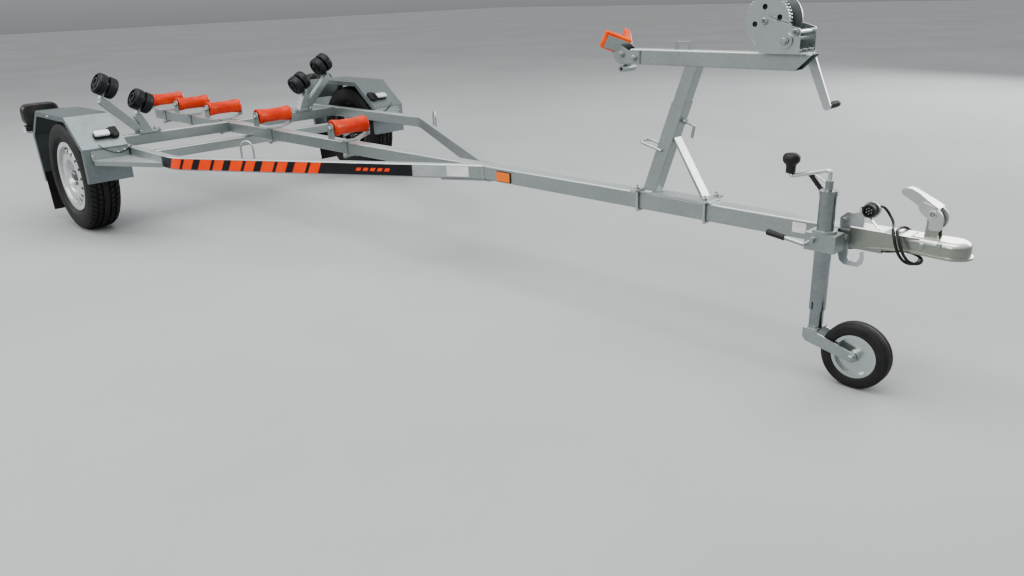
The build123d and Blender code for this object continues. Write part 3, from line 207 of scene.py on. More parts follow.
def ribbed_lens(name, tone, deep, rib_mm, axis):
    """Moulded acrylic lens: clear colour with a gloss coat, and ribs behind it that break up the light."""
    material, tree, surface, coordinates = new_material(name)
    ribs = add(tree, "ShaderNodeTexWave", {"Vector": coordinates, "Scale": bands(rib_mm)},
               bands_direction=axis, wave_profile="SIN")
    base = add(tree, "ShaderNodeValToRGB", {"Fac": ribs.outputs["Fac"]},
               [(0.2, colour(deep)), (0.8, colour(tone))])
    link(tree, base.outputs["Color"], surface, "Base Color")
    surface.inputs["Roughness"].default_value = 0.12
    surface.inputs["Coat Weight"].default_value = 0.6
    surface.inputs["Transmission Weight"].default_value = 0.15
    bump = add(tree, "ShaderNodeBump", {"Height": ribs.outputs["Fac"], "Strength": 0.4, "Distance": 0.0005})
    link(tree, bump.outputs[0], surface, "Normal")
    return material


def woven_webbing(name, dark, light, thread_mm):
    """Webbing: straight weft threads, and warp threads that vary a little."""
    material, tree, surface, coordinates = new_material(name)
    weft = add(tree, "ShaderNodeTexWave", {"Vector": coordinates, "Scale": bands(thread_mm)},
               bands_direction="Y")
    warp = add(tree, "ShaderNodeTexNoise", {"Vector": coordinates, "Scale": 1000 / thread_mm, "Detail": 2.0})
    both = add(tree, "ShaderNodeMath", {0: weft.outputs["Fac"], 1: warp.outputs["Fac"]}, operation="MULTIPLY")
    base = add(tree, "ShaderNodeValToRGB", {"Fac": both.outputs[0]},
               [(0.1, colour(dark)), (0.6, colour(light))])
    link(tree, base.outputs["Color"], surface, "Base Color")
    surface.inputs["Roughness"].default_value = 0.8
    surface.inputs["Sheen Weight"].default_value = 0.3
    bump = add(tree, "ShaderNodeBump", {"Height": both.outputs[0], "Strength": 0.6, "Distance": 0.0006})
    link(tree, bump.outputs[0], surface, "Normal")
    return material


def shade_inside_wheel(material, plane, inner_shade="#131211"):
    """Painted shade, drawn dark and less metallic, on what faces the trailer's middle, or lies nearer to it
    than a plane in metres along Y.
    """
    tree = material.node_tree
    surface = tree.nodes["Principled BSDF"]
    painted = surface.inputs["Base Color"].links[0].from_socket
    coordinates = add(tree, "ShaderNodeTexCoord").outputs["Object"]
    across = add(tree, "ShaderNodeSeparateXYZ", {"Vector": coordinates}).outputs["Y"]
    distance = add(tree, "ShaderNodeMath", {0: across}, operation="ABSOLUTE")
    inside = add(tree, "ShaderNodeMapRange", {"Value": distance.outputs[0], "From Min": plane + 0.002,
                                              "From Max": plane - 0.002, "To Max": 0.95})
    normal = add(tree, "ShaderNodeNewGeometry").outputs["Normal"]
    facing = add(tree, "ShaderNodeSeparateXYZ", {"Vector": normal}).outputs["Y"]
    outward = add(tree, "ShaderNodeMath", {0: facing, 1: across}, operation="MULTIPLY")
    inward = add(tree, "ShaderNodeMapRange", {"Value": outward.outputs[0], "From Min": -0.1,
                                              "From Max": -0.3})
    either = add(tree, "ShaderNodeMath", {0: inside.outputs[0], 1: inward.outputs[0]}, operation="MAXIMUM")
    # Painted shade: the inside of the wheel is mixed towards a near black tone
    mixed = add(tree, "ShaderNodeMix", {"Factor": either.outputs[0], 6: painted, 7: colour(inner_shade)},
                data_type="RGBA")
    link(tree, mixed.outputs[2], surface, "Base Color")
    metal = add(tree, "ShaderNodeMapRange", {"Value": either.outputs[0], "To Min": 0.5, "To Max": 0.0})
    link(tree, metal.outputs[0], surface, "Metallic")
    return material


# Finishes: metals

# Hot-dip galvanised steel: dull grey zinc with faint crystals, and a painted highlight that makes faces
# pointing up much paler
GALVANISED = zinc_coat("hot_dip_galvanised_steel", "#949b9b", "#abb2b2", 9, 210, 0.40, contrast=0.25,
                       top_highlight="#d6dbda")
# Galvanised sheet, weathered: darker, in wide cloudy patches with brown grime, and the same from every side
GALVANISED_FENDER = zinc_coat("weathered_galvanised_sheet", "#787f81", "#8a9294", 12, 260, 0.42,
                              stain="#5d5a52", contrast=0.3)
# Galvanised steel, newer than the frame: brighter, cleaner and smoother, with a painted highlight on faces
# that point up
GALVANISED_BRIGHT = zinc_coat("fresh_galvanised_steel", "#aeb4b5", "#c6cbcb", 8, 120, 0.32,
                              stain_amount=0.1, contrast=0.2, top_highlight="#e6eaea")
# Drawn tube under zinc: bare metal's sharp, dark and light reflections along its length, and a painted
# highlight on top
DRAWN_TUBE = zinc_coat("galvanised_drawn_tube", "#848a8c", "#9da3a5", 8, 90, 0.24, metallic=1.0,
                       stain_amount=0.1, contrast=0.3, top_highlight="#e2e5e5")
# Zinc electroplating: thin, even and bright, with hardly any crystals, and a painted highlight on faces that
# point up
ZINC_PLATED = zinc_coat("bright_zinc_plating", "#b6bdbe", "#cbd1d1", 3, 90, 0.28, metallic=0.9,
                        stain_amount=0.06, contrast=0.12, top_highlight="#e4e8e6")
# Cast steel hub: dark grey, partly a painted shade of the wheel's recessed middle, with rust-brown dirt in
# its grain
HUB_STEEL = zinc_coat("cast_hub_steel", "#6d7173", "#85898a", 3, 60, 0.42, stain="#57493a", stain_amount=0.3,
                      contrast=0.3)
# Zinc-plated and passivated pressing: a warm, slightly green grey, with a painted highlight that turns its
# upward faces bright
ZINC_COUPLING = zinc_coat("passivated_zinc_pressing", "#8c918b", "#a3a8a0", 5, 110, 0.32, stain="#8f8c72",
                          contrast=0.15, top_highlight="#eff1ea")
# Sand-cast zinc: pale and fine grained, with a soft shine and a painted highlight on faces that point up
CAST_LEVER = zinc_coat("sand_cast_zinc_lever", "#b4b9b7", "#cdd1ce", 4, 80, 0.36, stain_amount=0.1,
                       contrast=0.2, top_highlight="#eff2ef")
# Where the road rims' enamelled outside ends and the painted shade inside the wheel begins, in metres from
# the trailer's middle
SHADE_PLANE = 0.9205
# Silver stoving enamel: light metallic paint with a soft gloss outside, and black painted shade inside the
# wheel
ROAD_RIM_PAINT = shade_inside_wheel(moulded("silver_road_rim_enamel", "#bfc3c5", "#dcdfe0", 80, 0.30, 3, 0.03,
                                      metallic=0.5, coat=0.3, dust_amount=0.1), SHADE_PLANE)

# Finishes: rubber and plastic

# Road tyre rubber: near black and matt, under a brownish film of road dust
TYRE_RUBBER = moulded("road_tyre_rubber", "#0e0f11", "#191a1c", 60, 0.60, 1.6, 0.10, dust="#4a463f",
                      dust_amount=0.22)
# Solid tyre rubber: near black, finer grained and a little dustier
SOLID_TYRE = moulded("solid_jockey_tyre_rubber", "#101012", "#1d1d1f", 40, 0.58, 1.4, 0.08, dust="#504b44",
                     dust_amount=0.25)
# Cast polyurethane: deep red-orange with a soft gloss and dark scuffs
ORANGE_ROLLER = moulded("orange_polyurethane", "#c2300f", "#e2471a", 70, 0.34, 2.0, 0.05, dust="#7a3c24",
                        dust_amount=0.15)
# Moulded rubber block: a lighter and duller orange
ORANGE_BLOCK = moulded("orange_moulded_rubber", "#e64508", "#f8641a", 50, 0.40, 1.5, 0.05, dust="#8a4420",
                       dust_amount=0.10)
# Moulded roller rubber: blue-black with a satin shine
BLACK_ROLLER = moulded("black_roller_rubber", "#0b0d11", "#14181d", 50, 0.44, 2.0, 0.06, dust="#3c3a37",
                       dust_amount=0.15)
# Rubber sheet: black and matt, coarse, with dried mud
FLAP_RUBBER = moulded("mud_flap_rubber", "#0e0e10", "#18181a", 70, 0.65, 2.2, 0.12, dust="#4a453e",
                      dust_amount=0.3)
# Moulded polyamide: black, with a fine grain and a low shine
BLACK_PLASTIC = moulded("black_moulded_polyamide", "#121214", "#1d1d20", 40, 0.42, 0.9, 0.04,
                        dust_amount=0.12)
# Extruded PVC: an even satin black
BLACK_SHEATH = moulded("black_cable_sheath", "#141416", "#1c1c1f", 30, 0.45, 1.2, 0.03, dust_amount=0.15)
# Moulded ABS: smooth grey-black under a thin film of dust
LAMP_HOUSING = moulded("black_lamp_housing", "#17181a", "#232427", 60, 0.36, 1.2, 0.04, dust_amount=0.25)
# Moulded acrylic: glossy, banded by its ribs, which are drawn 4 or 5 mm apart so that they show
RED_LENS = ribbed_lens("red_acrylic_lens", "#b3121a", "#6d070c", 5, "Y")
AMBER_LENS = ribbed_lens("amber_acrylic_lens", "#f08a12", "#b85a05", 5, "Y")
CLEAR_LENS = ribbed_lens("clear_acrylic_lens", "#f4f6f7", "#c9ced2", 4, "Y")
# Prism reflector of moulded acrylic: a strong amber that hardly varies
REFLECTOR = ribbed_lens("amber_prism_reflector", "#ff8c00", "#ff7200", 4, "X")

# Finishes: films, labels and webbing

# Cast vinyl film: flat, smooth blue-black
BLACK_FILM = moulded("black_vinyl_film", "#07090e", "#0f1218", 90, 0.28, 5, 0.02, dust="#4a4a4a",
                     dust_amount=0.1)
# Cast vinyl film: flat, the purest orange on the trailer
ORANGE_FILM = moulded("orange_vinyl_film", "#fb4408", "#ff5412", 90, 0.34, 5, 0.02, dust="#9a4a2c",
                      dust_amount=0.08)
# Coated paper: off-white, greyed in patches by dust
WHITE_FILM = moulded("white_paper_label", "#dfe1e1", "#f0f1f0", 40, 0.5, 3, 0.02, dust="#a5a29a",
                     dust_amount=0.3)
# Metallised vinyl film: mid grey with a weak metal shine
SILVER_FILM = moulded("silver_vinyl_film", "#a9afb5", "#c3c8cd", 80, 0.35, 5, 0.02, metallic=0.3,
                      dust_amount=0.25)
# Coated paper: a pale, cool green
PALE_LABEL = moulded("pale_green_label", "#b9d8d0", "#d0ebe4", 30, 0.45, 3, 0.02, dust_amount=0.2)
# Woven polyester: near black, with a paler grain where the threads catch the light
WEBBING = woven_webbing("dark_polyester_webbing", "#15161a", "#3c3f45", 1.515)


# Meshes

SIDES = (("right", -1), ("left", 1))
ORIGIN = Vector((0, 0, 0))


def piece(name, verts, faces, material, body, slot, smooth=35, bevel=0.0, bevel_steps=2):
    """A mesh piece on a body: smooth up to an angle in degrees, its edges rounded by bevel metres."""
    mesh = bpy.data.meshes.new(name)
    mesh.from_pydata([tuple(v) for v in verts], [], faces)
    edit = bmesh.new()
    edit.from_mesh(mesh)
    bmesh.ops.remove_doubles(edit, verts=edit.verts, dist=1e-6)
    bmesh.ops.recalc_face_normals(edit, faces=edit.faces)
    edit.to_mesh(mesh)
    edit.free()
    return dress(bpy.data.objects.new(name, mesh), material, body, slot, smooth, bevel, bevel_steps)


def dress(thing, material, body, slot, smooth=35, bevel=0.0, bevel_steps=2):
    """Material, edge rounding and body of a piece whose mesh is in place."""
    if thing.name not in bpy.context.scene.collection.objects:
        bpy.context.scene.collection.objects.link(thing)
    mesh = thing.data
    mesh.materials.clear()
    mesh.materials.append(material)
    for face in mesh.polygons:
        face.use_smooth = True
        face.material_index = 0
    mesh.set_sharp_from_angle(angle=math.radians(smooth))
    if bevel:
        rounding = thing.modifiers.new("rounding", "BEVEL")
        rounding.width = bevel
        rounding.segments = bevel_steps
        rounding.limit_method = "ANGLE"
        rounding.angle_limit = math.radians(40)
        rounding.harden_normals = True
    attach(thing, body)
    return thing


def turned(profile, centre=ORIGIN, steps=64):
    """Shape turned about a line along Y through centre, from its profile's points (radius, y)."""
    verts, faces = [], []
    count = len(profile)
    for j in range(steps):
        angle = 2 * math.pi * j / steps
        for r, y in profile:
            verts.append(centre + Vector((r * math.cos(angle), y, r * math.sin(angle))) / 1000)
    for j in range(steps):
        a, b = j * count, (j + 1) % steps * count
        for i in range(count - 1):
            quad = [a + i, a + i + 1, b + i + 1, b + i]
            if profile[i][0] == 0:
                quad = [a + i, a + i + 1, b + i + 1]
            if profile[i + 1][0] == 0:
                quad = [a + i, a + i + 1, b + i]
            faces.append(quad)
    return verts, faces


def mirrored(half):
    """A profile from its half for y above zero, listed from the outer end to the middle."""
    return [(r, -y) for r, y in half] + half[::-1]


def moved(shape, matrix):
    """A shape with its corners put through a matrix."""
    verts, faces = shape
    return [matrix @ v for v in verts], faces


def aimed(start, end):
    """Matrix that takes the origin to start and turns Y towards end."""
    return Matrix.Translation(start) @ (end - start).to_track_quat("Y", "Z").to_matrix().to_4x4()


def slab(outline, low, high, place=lambda u, v, w: at(u, w, v)):
    """Flat plate: its outline's points (u, v) at two depths, put in place by a function of u, v and depth."""
    count = len(outline)
    verts = [place(u, v, low) for u, v in outline] + [place(u, v, high) for u, v in outline]
    faces = [list(range(count)), list(range(2 * count - 1, count - 1, -1))]
    faces += [[i, (i + 1) % count, count + (i + 1) % count, count + i] for i in range(count)]
    return verts, faces


def walls(sections, count):
    """Faces that join each closed section of count points to the next one."""
    faces = []
    for j in range(sections - 1):
        a, b = j * count, (j + 1) * count
        for i in range(count):
            n = (i + 1) % count
            faces.append([a + i, a + n, b + n, b + i])
    return faces


def caps(sections, count):
    """Faces that close the first and the last of several sections of count points."""
    last = (sections - 1) * count
    return [list(range(count))[::-1], list(range(last, last + count))]


def joined(*shapes):
    """Several shapes as one list of corners and one of faces."""
    verts, faces = [], []
    for more_verts, more_faces in shapes:
        faces += [[i + len(verts) for i in face] for face in more_faces]
        verts += list(more_verts)
    return verts, faces


def rounded_rectangle(u0, u1, v0, v1, radius, steps=5):
    """Corner points of a rectangle with rounded corners, anticlockwise from its upper right."""
    corners = ((u1 - radius, v1 - radius, 0), (u0 + radius, v1 - radius, 90), (u0 + radius, v0 + radius, 180),
               (u1 - radius, v0 + radius, 270))
    points = []
    for cu, cv, first in corners:
        for k in range(steps + 1):
            angle = math.radians(first + 90 * k / steps)
            points.append((cu + radius * math.cos(angle), cv + radius * math.sin(angle)))
    return points


def smooth_line(name, points, radius, across, along):
    """Curve object with a round section and one open spline, whose control points are in the row frame."""
    curve = bpy.data.curves.new(name, "CURVE")
    curve.dimensions = "3D"
    curve.bevel_depth = radius / 1000
    curve.bevel_resolution = across
    curve.use_fill_caps = True
    curve.resolution_u = along
    spline = curve.splines.new("NURBS")
    spline.points.add(len(points) - 1)
    for point, spot in zip(spline.points, points):
        point.co = (*spot, 1.0)
    spline.order_u = 3
    spline.use_endpoint_u = True
    line = bpy.data.objects.new(name, curve)
    bpy.context.scene.collection.objects.link(line)
    return line


def plain_mesh(thing):
    """The mesh that an object shows once its modifiers or its curve are worked out; the object is removed."""
    bpy.context.view_layer.update()
    seen = thing.evaluated_get(bpy.context.evaluated_depsgraph_get())
    mesh = bpy.data.meshes.new_from_object(seen)
    bpy.data.objects.remove(thing)
    return mesh


def wire(name, points, radius, material, body, slot):
    """Round bar or wire along a smooth line, as a mesh."""
    mesh = plain_mesh(smooth_line(name + "_line", points, radius, 3, 8))
    return dress(bpy.data.objects.new(name, mesh), material, body, slot, 60)


# Geometry Nodes

def geometry_tree(name, sockets):
    """Tree with a mesh in and out and named inputs: (name, kind, value)."""
    tree = bpy.data.node_groups.new(name, "GeometryNodeTree")
    tree.interface.new_socket("Geometry", in_out="INPUT", socket_type="NodeSocketGeometry")
    for label, kind, value in sockets:
        socket = tree.interface.new_socket(label, in_out="INPUT", socket_type=kind)
        if value is not None:
            socket.default_value = value
    tree.interface.new_socket("Geometry", in_out="OUTPUT", socket_type="NodeSocketGeometry")
    return tree, add(tree, "NodeGroupInput").outputs


def ended(tree, copies, material):
    """The end that every tree here has: real copies in one material."""
    solid = add(tree, "GeometryNodeRealizeInstances", {"Geometry": copies})
    finished = add(tree, "GeometryNodeSetMaterial", {"Geometry": solid.outputs[0], "Material": material})
    tree.links.new(finished.outputs[0], add(tree, "NodeGroupOutput").inputs[0])
    return tree


def grown(name, seed_mesh, tree, values):
    """The plain mesh that a tree grows from a mesh, with the tree's inputs given by their names."""
    holder = bpy.data.objects.new(name, seed_mesh)
    bpy.context.scene.collection.objects.link(holder)
    modifier = holder.modifiers.new(name, "NODES")
    modifier.node_group = tree
    for item in tree.interface.items_tree:
        if item.in_out == "INPUT" and item.name in values:
            modifier[item.identifier] = values[item.name]
    mesh = plain_mesh(holder)
    return bpy.data.objects.new(name, mesh)


WASHER_THICK = 0.0016
# How wide and how high a head is at its chamfer, and its width across corners for its width across flats
CHAMFER_SHARE = 0.84
FLAT_SHARE = 0.82
CORNER_SHARE = 1.155


def hexagon_tree():
    """Hexagon heads with a washer and a thread end, one on each point, along the point's aim."""
    tree, given = geometry_tree("hexagon_heads", [
        ("Across Corners", "NodeSocketFloat", 0.01), ("Head", "NodeSocketFloat", 0.006),
        ("Washer", "NodeSocketFloat", 0.01), ("Thread", "NodeSocketFloat", 0.004),
        ("Thread End", "NodeSocketFloat", 0.003), ("Material", "NodeSocketMaterial", None)])
    head, washer, thread = given["Head"], given["Washer"], given["Thread"]
    half = add(tree, "ShaderNodeMath", {0: given["Across Corners"], 1: 0.5}, operation="MULTIPLY").outputs[0]
    chamfer = add(tree, "ShaderNodeMath", {0: half, 1: CHAMFER_SHARE}, operation="MULTIPLY").outputs[0]
    flat_part = add(tree, "ShaderNodeMath", {0: head, 1: FLAT_SHARE}, operation="MULTIPLY").outputs[0]
    top_part = add(tree, "ShaderNodeMath", {0: head, 1: 1 - FLAT_SHARE}, operation="MULTIPLY").outputs[0]
    rise = add(tree, "ShaderNodeMath", {0: flat_part, 1: WASHER_THICK}, operation="ADD").outputs[0]
    reach = add(tree, "ShaderNodeMath", {0: head, 1: given["Thread End"]}, operation="ADD").outputs[0]
    # Corners, radius at the top and the bottom, height, ends, and how far the shape is lifted
    shapes = ((14, thread, thread, reach, "NGON", 0.0), (24, washer, washer, WASHER_THICK, "NGON", 0.0),
              (6, chamfer, half, top_part, "NGON", rise), (6, half, half, flat_part, "NONE", WASHER_THICK))
    join = add(tree, "GeometryNodeJoinGeometry")
    for corners, top, bottom, height, ends, lift in shapes:
        shape = add(tree, "GeometryNodeMeshCone", {"Vertices": corners, "Radius Top": top,
                                                   "Radius Bottom": bottom, "Depth": height}, fill_type=ends)
        offset = add(tree, "ShaderNodeCombineXYZ", {"Z": lift})
        lifted = add(tree, "GeometryNodeTransform", {"Geometry": shape.outputs["Mesh"],
                                                     "Translation": offset.outputs[0]})
        tree.links.new(lifted.outputs[0], join.inputs[0])
    aim = add(tree, "GeometryNodeInputNamedAttribute", {"Name": "aim"}, data_type="FLOAT_VECTOR")
    turn = add(tree, "FunctionNodeAlignRotationToVector", {"Vector": aim.outputs["Attribute"]}, axis="Z")
    copies = add(tree, "GeometryNodeInstanceOnPoints",
                 {"Points": given["Geometry"], "Instance": join.outputs[0], "Rotation": turn.outputs[0]})
    return ended(tree, copies.outputs[0], given["Material"])


HEXAGONS = hexagon_tree()
OUT, UP, DOWN, FORWARD, BACK = (0, 1, 0), (0, 0, 1), (0, 0, -1), (1, 0, 0), (-1, 0, 0)


def both_sides(places, aim=OUT):
    """Spots for bolts on the left side and their mirror on the right, from places (x, y, z) and one aim."""
    return [(at(x, s * y, z), (aim[0], s * aim[1], aim[2])) for s in (-1, 1) for x, y, z in places]


def bolts(name, body, spots, across=17.0, head=7.0, washer=12.0, thread=5.0, end=5.0,
          material=GALVANISED, slot="galvanised"):
    """Bolt heads or nuts at spots, each a place in the row frame and an aim. In millimetres: the width across
    flats, the head's height, the radius of washer and thread, and how far the thread stands out."""
    mesh = bpy.data.meshes.new(name)
    mesh.from_pydata([tuple(place) for place, aim in spots], [], [])
    aims = mesh.attributes.new("aim", "FLOAT_VECTOR", "POINT")
    for k, (place, aim) in enumerate(spots):
        aims.data[k].vector = aim
    values = {"Across Corners": across / 1000 * CORNER_SHARE, "Head": head / 1000, "Washer": washer / 1000,
              "Thread": thread / 1000, "Thread End": end / 1000, "Material": material}
    return dress(grown(name, mesh, HEXAGONS, values), material, body, slot, 30)


def ring_tree():
    """Copies of one sector side by side around a line along Y through the centre."""
    tree, given = geometry_tree("around_the_axle", [
        ("Count", "NodeSocketInt", 60), ("Centre", "NodeSocketVector", None),
        ("Material", "NodeSocketMaterial", None)])
    line = add(tree, "GeometryNodePoints", {"Count": given["Count"], "Position": given["Centre"]})
    number = add(tree, "GeometryNodeInputIndex")
    share = add(tree, "ShaderNodeMath", {0: 2 * math.pi, 1: given["Count"]}, operation="DIVIDE")
    angle = add(tree, "ShaderNodeMath", {0: number.outputs[0], 1: share.outputs[0]}, operation="MULTIPLY")
    turn = add(tree, "ShaderNodeCombineXYZ", {"Y": angle.outputs[0]})
    copies = add(tree, "GeometryNodeInstanceOnPoints",
                 {"Points": line.outputs[0], "Instance": given["Geometry"], "Rotation": turn.outputs[0]})
    solid = add(tree, "GeometryNodeRealizeInstances", {"Geometry": copies.outputs[0]})
    sewn = add(tree, "GeometryNodeMergeByDistance", {"Geometry": solid.outputs[0], "Distance": 0.00002})
    return ended(tree, sewn.outputs[0], given["Material"])


RING = ring_tree()


def around_axle(name, sector, count, centre, material, body, slot, smooth=35):
    """A closed ring of one sector's copies; the sector is modelled about the line through the origin."""
    mesh = bpy.data.meshes.new(name)
    mesh.from_pydata([tuple(v) for v in sector[0]], [], sector[1])
    values = {"Count": count, "Centre": tuple(centre), "Material": material}
    ring = grown(name, mesh, RING, values)
    edit = bmesh.new()
    edit.from_mesh(ring.data)
    bmesh.ops.recalc_face_normals(edit, faces=edit.faces)
    edit.to_mesh(ring.data)
    edit.free()
    return dress(ring, material, body, slot, smooth)


# Frame steel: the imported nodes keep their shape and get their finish

FINISHES = {
    GALVANISED: ("keel_beam", "side_rail_right", "side_rail_left", "crossbeam", "junction_plate", "axle_beam",
                 "suspension_arms", "fender_brackets", "lamp_brackets", "keel_brackets", "bilge_supports",
                 "post_sleeve", "winch_post", "bow_stop_bracket", "jockey_clamp", "jockey_fork"),
    GALVANISED_FENDER: ("fender_right", "fender_left"),
    GALVANISED_BRIGHT: ("post_base", "plug_holder"),
    ZINC_PLATED: ("winch_frame", "winch_drum", "winch_crank", "jockey_crank", "hook_strap", "jockey_rim"),
    ZINC_COUPLING: ("coupling_body",),
    CAST_LEVER: ("coupling_handle",),
    DRAWN_TUBE: ("jockey_tube", "jockey_leg"),
    HUB_STEEL: ("hub_right", "hub_left"),
    FLAP_RUBBER: ("mud_flaps",),
    BLACK_SHEATH: ("cable_gland",),
}


def finish_packed_nodes():
    for material, names in FINISHES.items():
        for name in names:
            mesh = NODES[name].data
            mesh.materials.clear()
            mesh.materials.append(material)


# Road wheels

TRACK = 1780.0
AXLE_HEIGHT = 288.0
TREAD_PITCHES = 60
# Half of the tyre's sidewall, as (y, radius) from the bead to the shoulder
SIDEWALL = ((62, 162), (62, 183), (67, 190), (74, 199), (78, 203), (80.5, 206), (80, 209), (82, 214),
            (83.5, 222), (84, 230), (83.5, 240), (82.5, 249), (81.5, 254), (80.3, 256), (79, 262), (76, 269),
            (73.5, 274))
# Distance from the middle, depth of the groove round the tyre, depth of the slots across it
TREAD = ((72, 0, 2.5), (66, 0, 5), (58, 0, 6.5), (48.5, 0, 6.5), (47.8, 7.5, 0), (41.2, 7.5, 0), (40.5, 0, 6),
         (22.5, 0, 6), (21.8, 7.5, 0), (14.2, 7.5, 0), (13.5, 0, 1.2), (1.2, 0, 1.2))
# Where a pitch's sections stand along it, and whether they lie in its slot
PITCH_STEPS = ((0.0, 0), (0.04, 1), (0.18, 1), (0.22, 0), (0.6, 0), (1.0, 0))
# How many pitches a slot leans by the time it reaches the shoulder, and where that is
SLOT_LEAN = 1.6
SHOULDER_Y = 72


def crown_radius(y):
    """Radius of the tread's outer surface at a distance from its middle: a slow curve, then a slope."""
    flat_y, drop = 58, 3
    if y <= flat_y:
        return AXLE_HEIGHT - drop * (y / flat_y) ** 2
    return AXLE_HEIGHT - drop - (y - flat_y) * 9 / (SHOULDER_Y - flat_y)


def tyre_pitch():
    """One pitch of the tyre round its axle: its section from bead to bead, with one slanting slot."""
    half = [(y, r, 0) for y, r in SIDEWALL]
    half += [(y, crown_radius(y) - groove, slot) for y, groove, slot in TREAD]
    section = [(-y, r, slot) for y, r, slot in half] + half[::-1]
    share = 2 * math.pi / TREAD_PITCHES
    verts = []
    for step, in_slot in PITCH_STEPS:
        for y, r, slot in section:
            angle = share * (step + SLOT_LEAN * min(abs(y), SHOULDER_Y) / SHOULDER_Y)
            depth = r - slot * in_slot
            verts.append(Vector((depth * math.cos(angle), y, depth * math.sin(angle))) / 1000)
    return verts, walls(len(PITCH_STEPS), len(section))


# The rim for a wheel with -Y outboard, as (radius, y): its barrel, the dished middle of its disc, and the
# outer face of the vented ring between them
RIM_BARREL = ((158, -64), (160, -67.2), (164, -68), (181, -68), (182.5, -66.6), (182.5, -63.4), (181, -62),
              (162, -62), (162, -40), (150, -28), (150, 28), (162, 40), (162, 62), (182.5, 62), (182.5, 68),
              (158, 68), (158, 38), (146, 26), (146, -24), (147.5, -28), (156, -37), (158, -41), (158, -64))
DISC_MIDDLE = ((30, -33), (62, -33), (68, -34.5), (73, -40), (78, -50), (83, -58.5), (89, -62.8), (95, -64),
               (100, -64), (100, -60), (95, -60), (90, -59), (86, -55.6), (81.5, -48.5), (77, -38.5),
               (71, -31), (64, -29), (30, -29), (30, -33))
VENTED_RING = ((100, -64), (112, -64), (120, -63), (128, -61), (136, -58), (142, -54), (150, -46.5),
               (158, -40))
RING_THICK = 4
VENTS = 16
VENT_RADIUS = 129.0
# A vent ends in half circles of this radius, this far above and below its middle
VENT_END_RADIUS = 8
VENT_HALF_STRAIGHT = 3.5


def ring_height(r):
    """Height of the vented ring's outer face at a radius."""
    for (r0, y0), (r1, y1) in zip(VENTED_RING, VENTED_RING[1:]):
        if r <= r1:
            return y0 + (y1 - y0) * (r - r0) / (r1 - r0)
    return VENTED_RING[-1][1]


def vent_sector(sign):
    """One sector of the disc's vented ring, with its slot; sign is the side that the wheel is on."""
    wide, low, high = math.pi / VENTS * VENT_RADIUS, VENTED_RING[0][0], VENTED_RING[-1][0]
    across = [wide * k / 4 for k in range(-4, 5)]
    up = [low + (high - low) * k / 5 for k in range(1, 5)]
    border = [(u, high) for u in across] + [(wide, v) for v in up[::-1]]
    border += [(u, low) for u in across[::-1]] + [(-wide, v) for v in up]
    slot = []
    for u, v in border:
        angle = math.atan2(v - VENT_RADIUS, u)
        end = VENT_RADIUS + math.copysign(VENT_HALF_STRAIGHT, math.sin(angle))
        slot.append((VENT_END_RADIUS * math.cos(angle), end + VENT_END_RADIUS * math.sin(angle)))
    middle = [((a + 2 * c) / 3, (b + 2 * d) / 3) for (a, b), (c, d) in zip(border, slot)]
    outer = [((a + c) / 2, (b + d) / 2) for (a, b), (c, d) in zip(border, middle)]
    verts, faces = [], []
    for thick in (0, RING_THICK):
        for level in (border, outer, middle, slot):
            for u, v in level:
                angle, y = u / VENT_RADIUS, ring_height(v) + thick
                verts.append(Vector((v * math.cos(angle), -sign * y, v * math.sin(angle))) / 1000)
    count = len(border)
    inner_side = 4 * count
    faces += walls(4, count)
    faces += [[corner + inner_side for corner in face] for face in walls(4, count)]
    for k in range(count):
        n = (k + 1) % count
        faces.append([3 * count + k, 3 * count + n, inner_side + 3 * count + n, inner_side + 3 * count + k])
        on_a_circle = border[k][1] == border[n][1]
        if on_a_circle:
            faces.append([k, n, inner_side + n, inner_side + k])
    return verts, faces


def road_rim(side, sign, centre):
    """Rolled barrel, dished disc and vented ring of a steel rim."""
    body = "wheel_" + side
    barrel, middle = [turned([(r, -sign * y) for r, y in profile], centre, 96)
                      for profile in (RIM_BARREL, DISC_MIDDLE)]
    rim = piece("road_rim_" + side, *joined(barrel, middle), ROAD_RIM_PAINT, body, "rim_silver", 32)
    around_axle("rim_vents_" + side, vent_sector(sign), VENTS, centre, ROAD_RIM_PAINT, body, "rim_silver", 32)
    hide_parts("rim_" + side)


WHEEL_BOLTS = 5
WHEEL_BOLT_CIRCLE = 56
# The disc's face at the bolts and the valve's place, from the wheel's middle
BOLT_FACE = 33
VALVE_OUT = 45
VALVE_UP = 149
VALVE_STEM = ((0, -22), (3.2, -22), (3.2, -12), (4.6, -11), (4.6, -2), (6, 0), (6, 4), (0, 4))


def road_wheels():
    for side, sign in SIDES:
        body = "wheel_" + side
        middle = sign * TRACK / 2
        centre = at(0, middle, AXLE_HEIGHT)
        tyre = around_axle("road_tyre_" + side, tyre_pitch(), TREAD_PITCHES, centre, TYRE_RUBBER, body,
                           "tyre", 40)
        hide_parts("tyre_" + side)
        road_rim(side, sign, centre)
        spots = []
        for k in range(WHEEL_BOLTS):
            angle = math.radians(360 / WHEEL_BOLTS * k + 18)
            x, z = WHEEL_BOLT_CIRCLE * math.cos(angle), WHEEL_BOLT_CIRCLE * math.sin(angle)
            spots.append((at(x, middle + sign * BOLT_FACE, AXLE_HEIGHT + z), (0, sign, 0)))
        bolts("wheel_bolts_" + side, body, spots, head=13, washer=11, thread=6, end=0, slot="hub_steel")
        stem = [(r, -sign * y) for r, y in VALVE_STEM]
        valve = turned(stem, at(0, middle + sign * VALVE_OUT, AXLE_HEIGHT + VALVE_UP), 20)
        piece("valve_" + side, *valve, BLACK_SHEATH, body, "tyre")


# Jockey wheel

JOCKEY_X = 3720.0
JOCKEY_Y = -96.0
JOCKEY_WHEEL_X = 3850.0
JOCKEY_RADIUS = 100.0
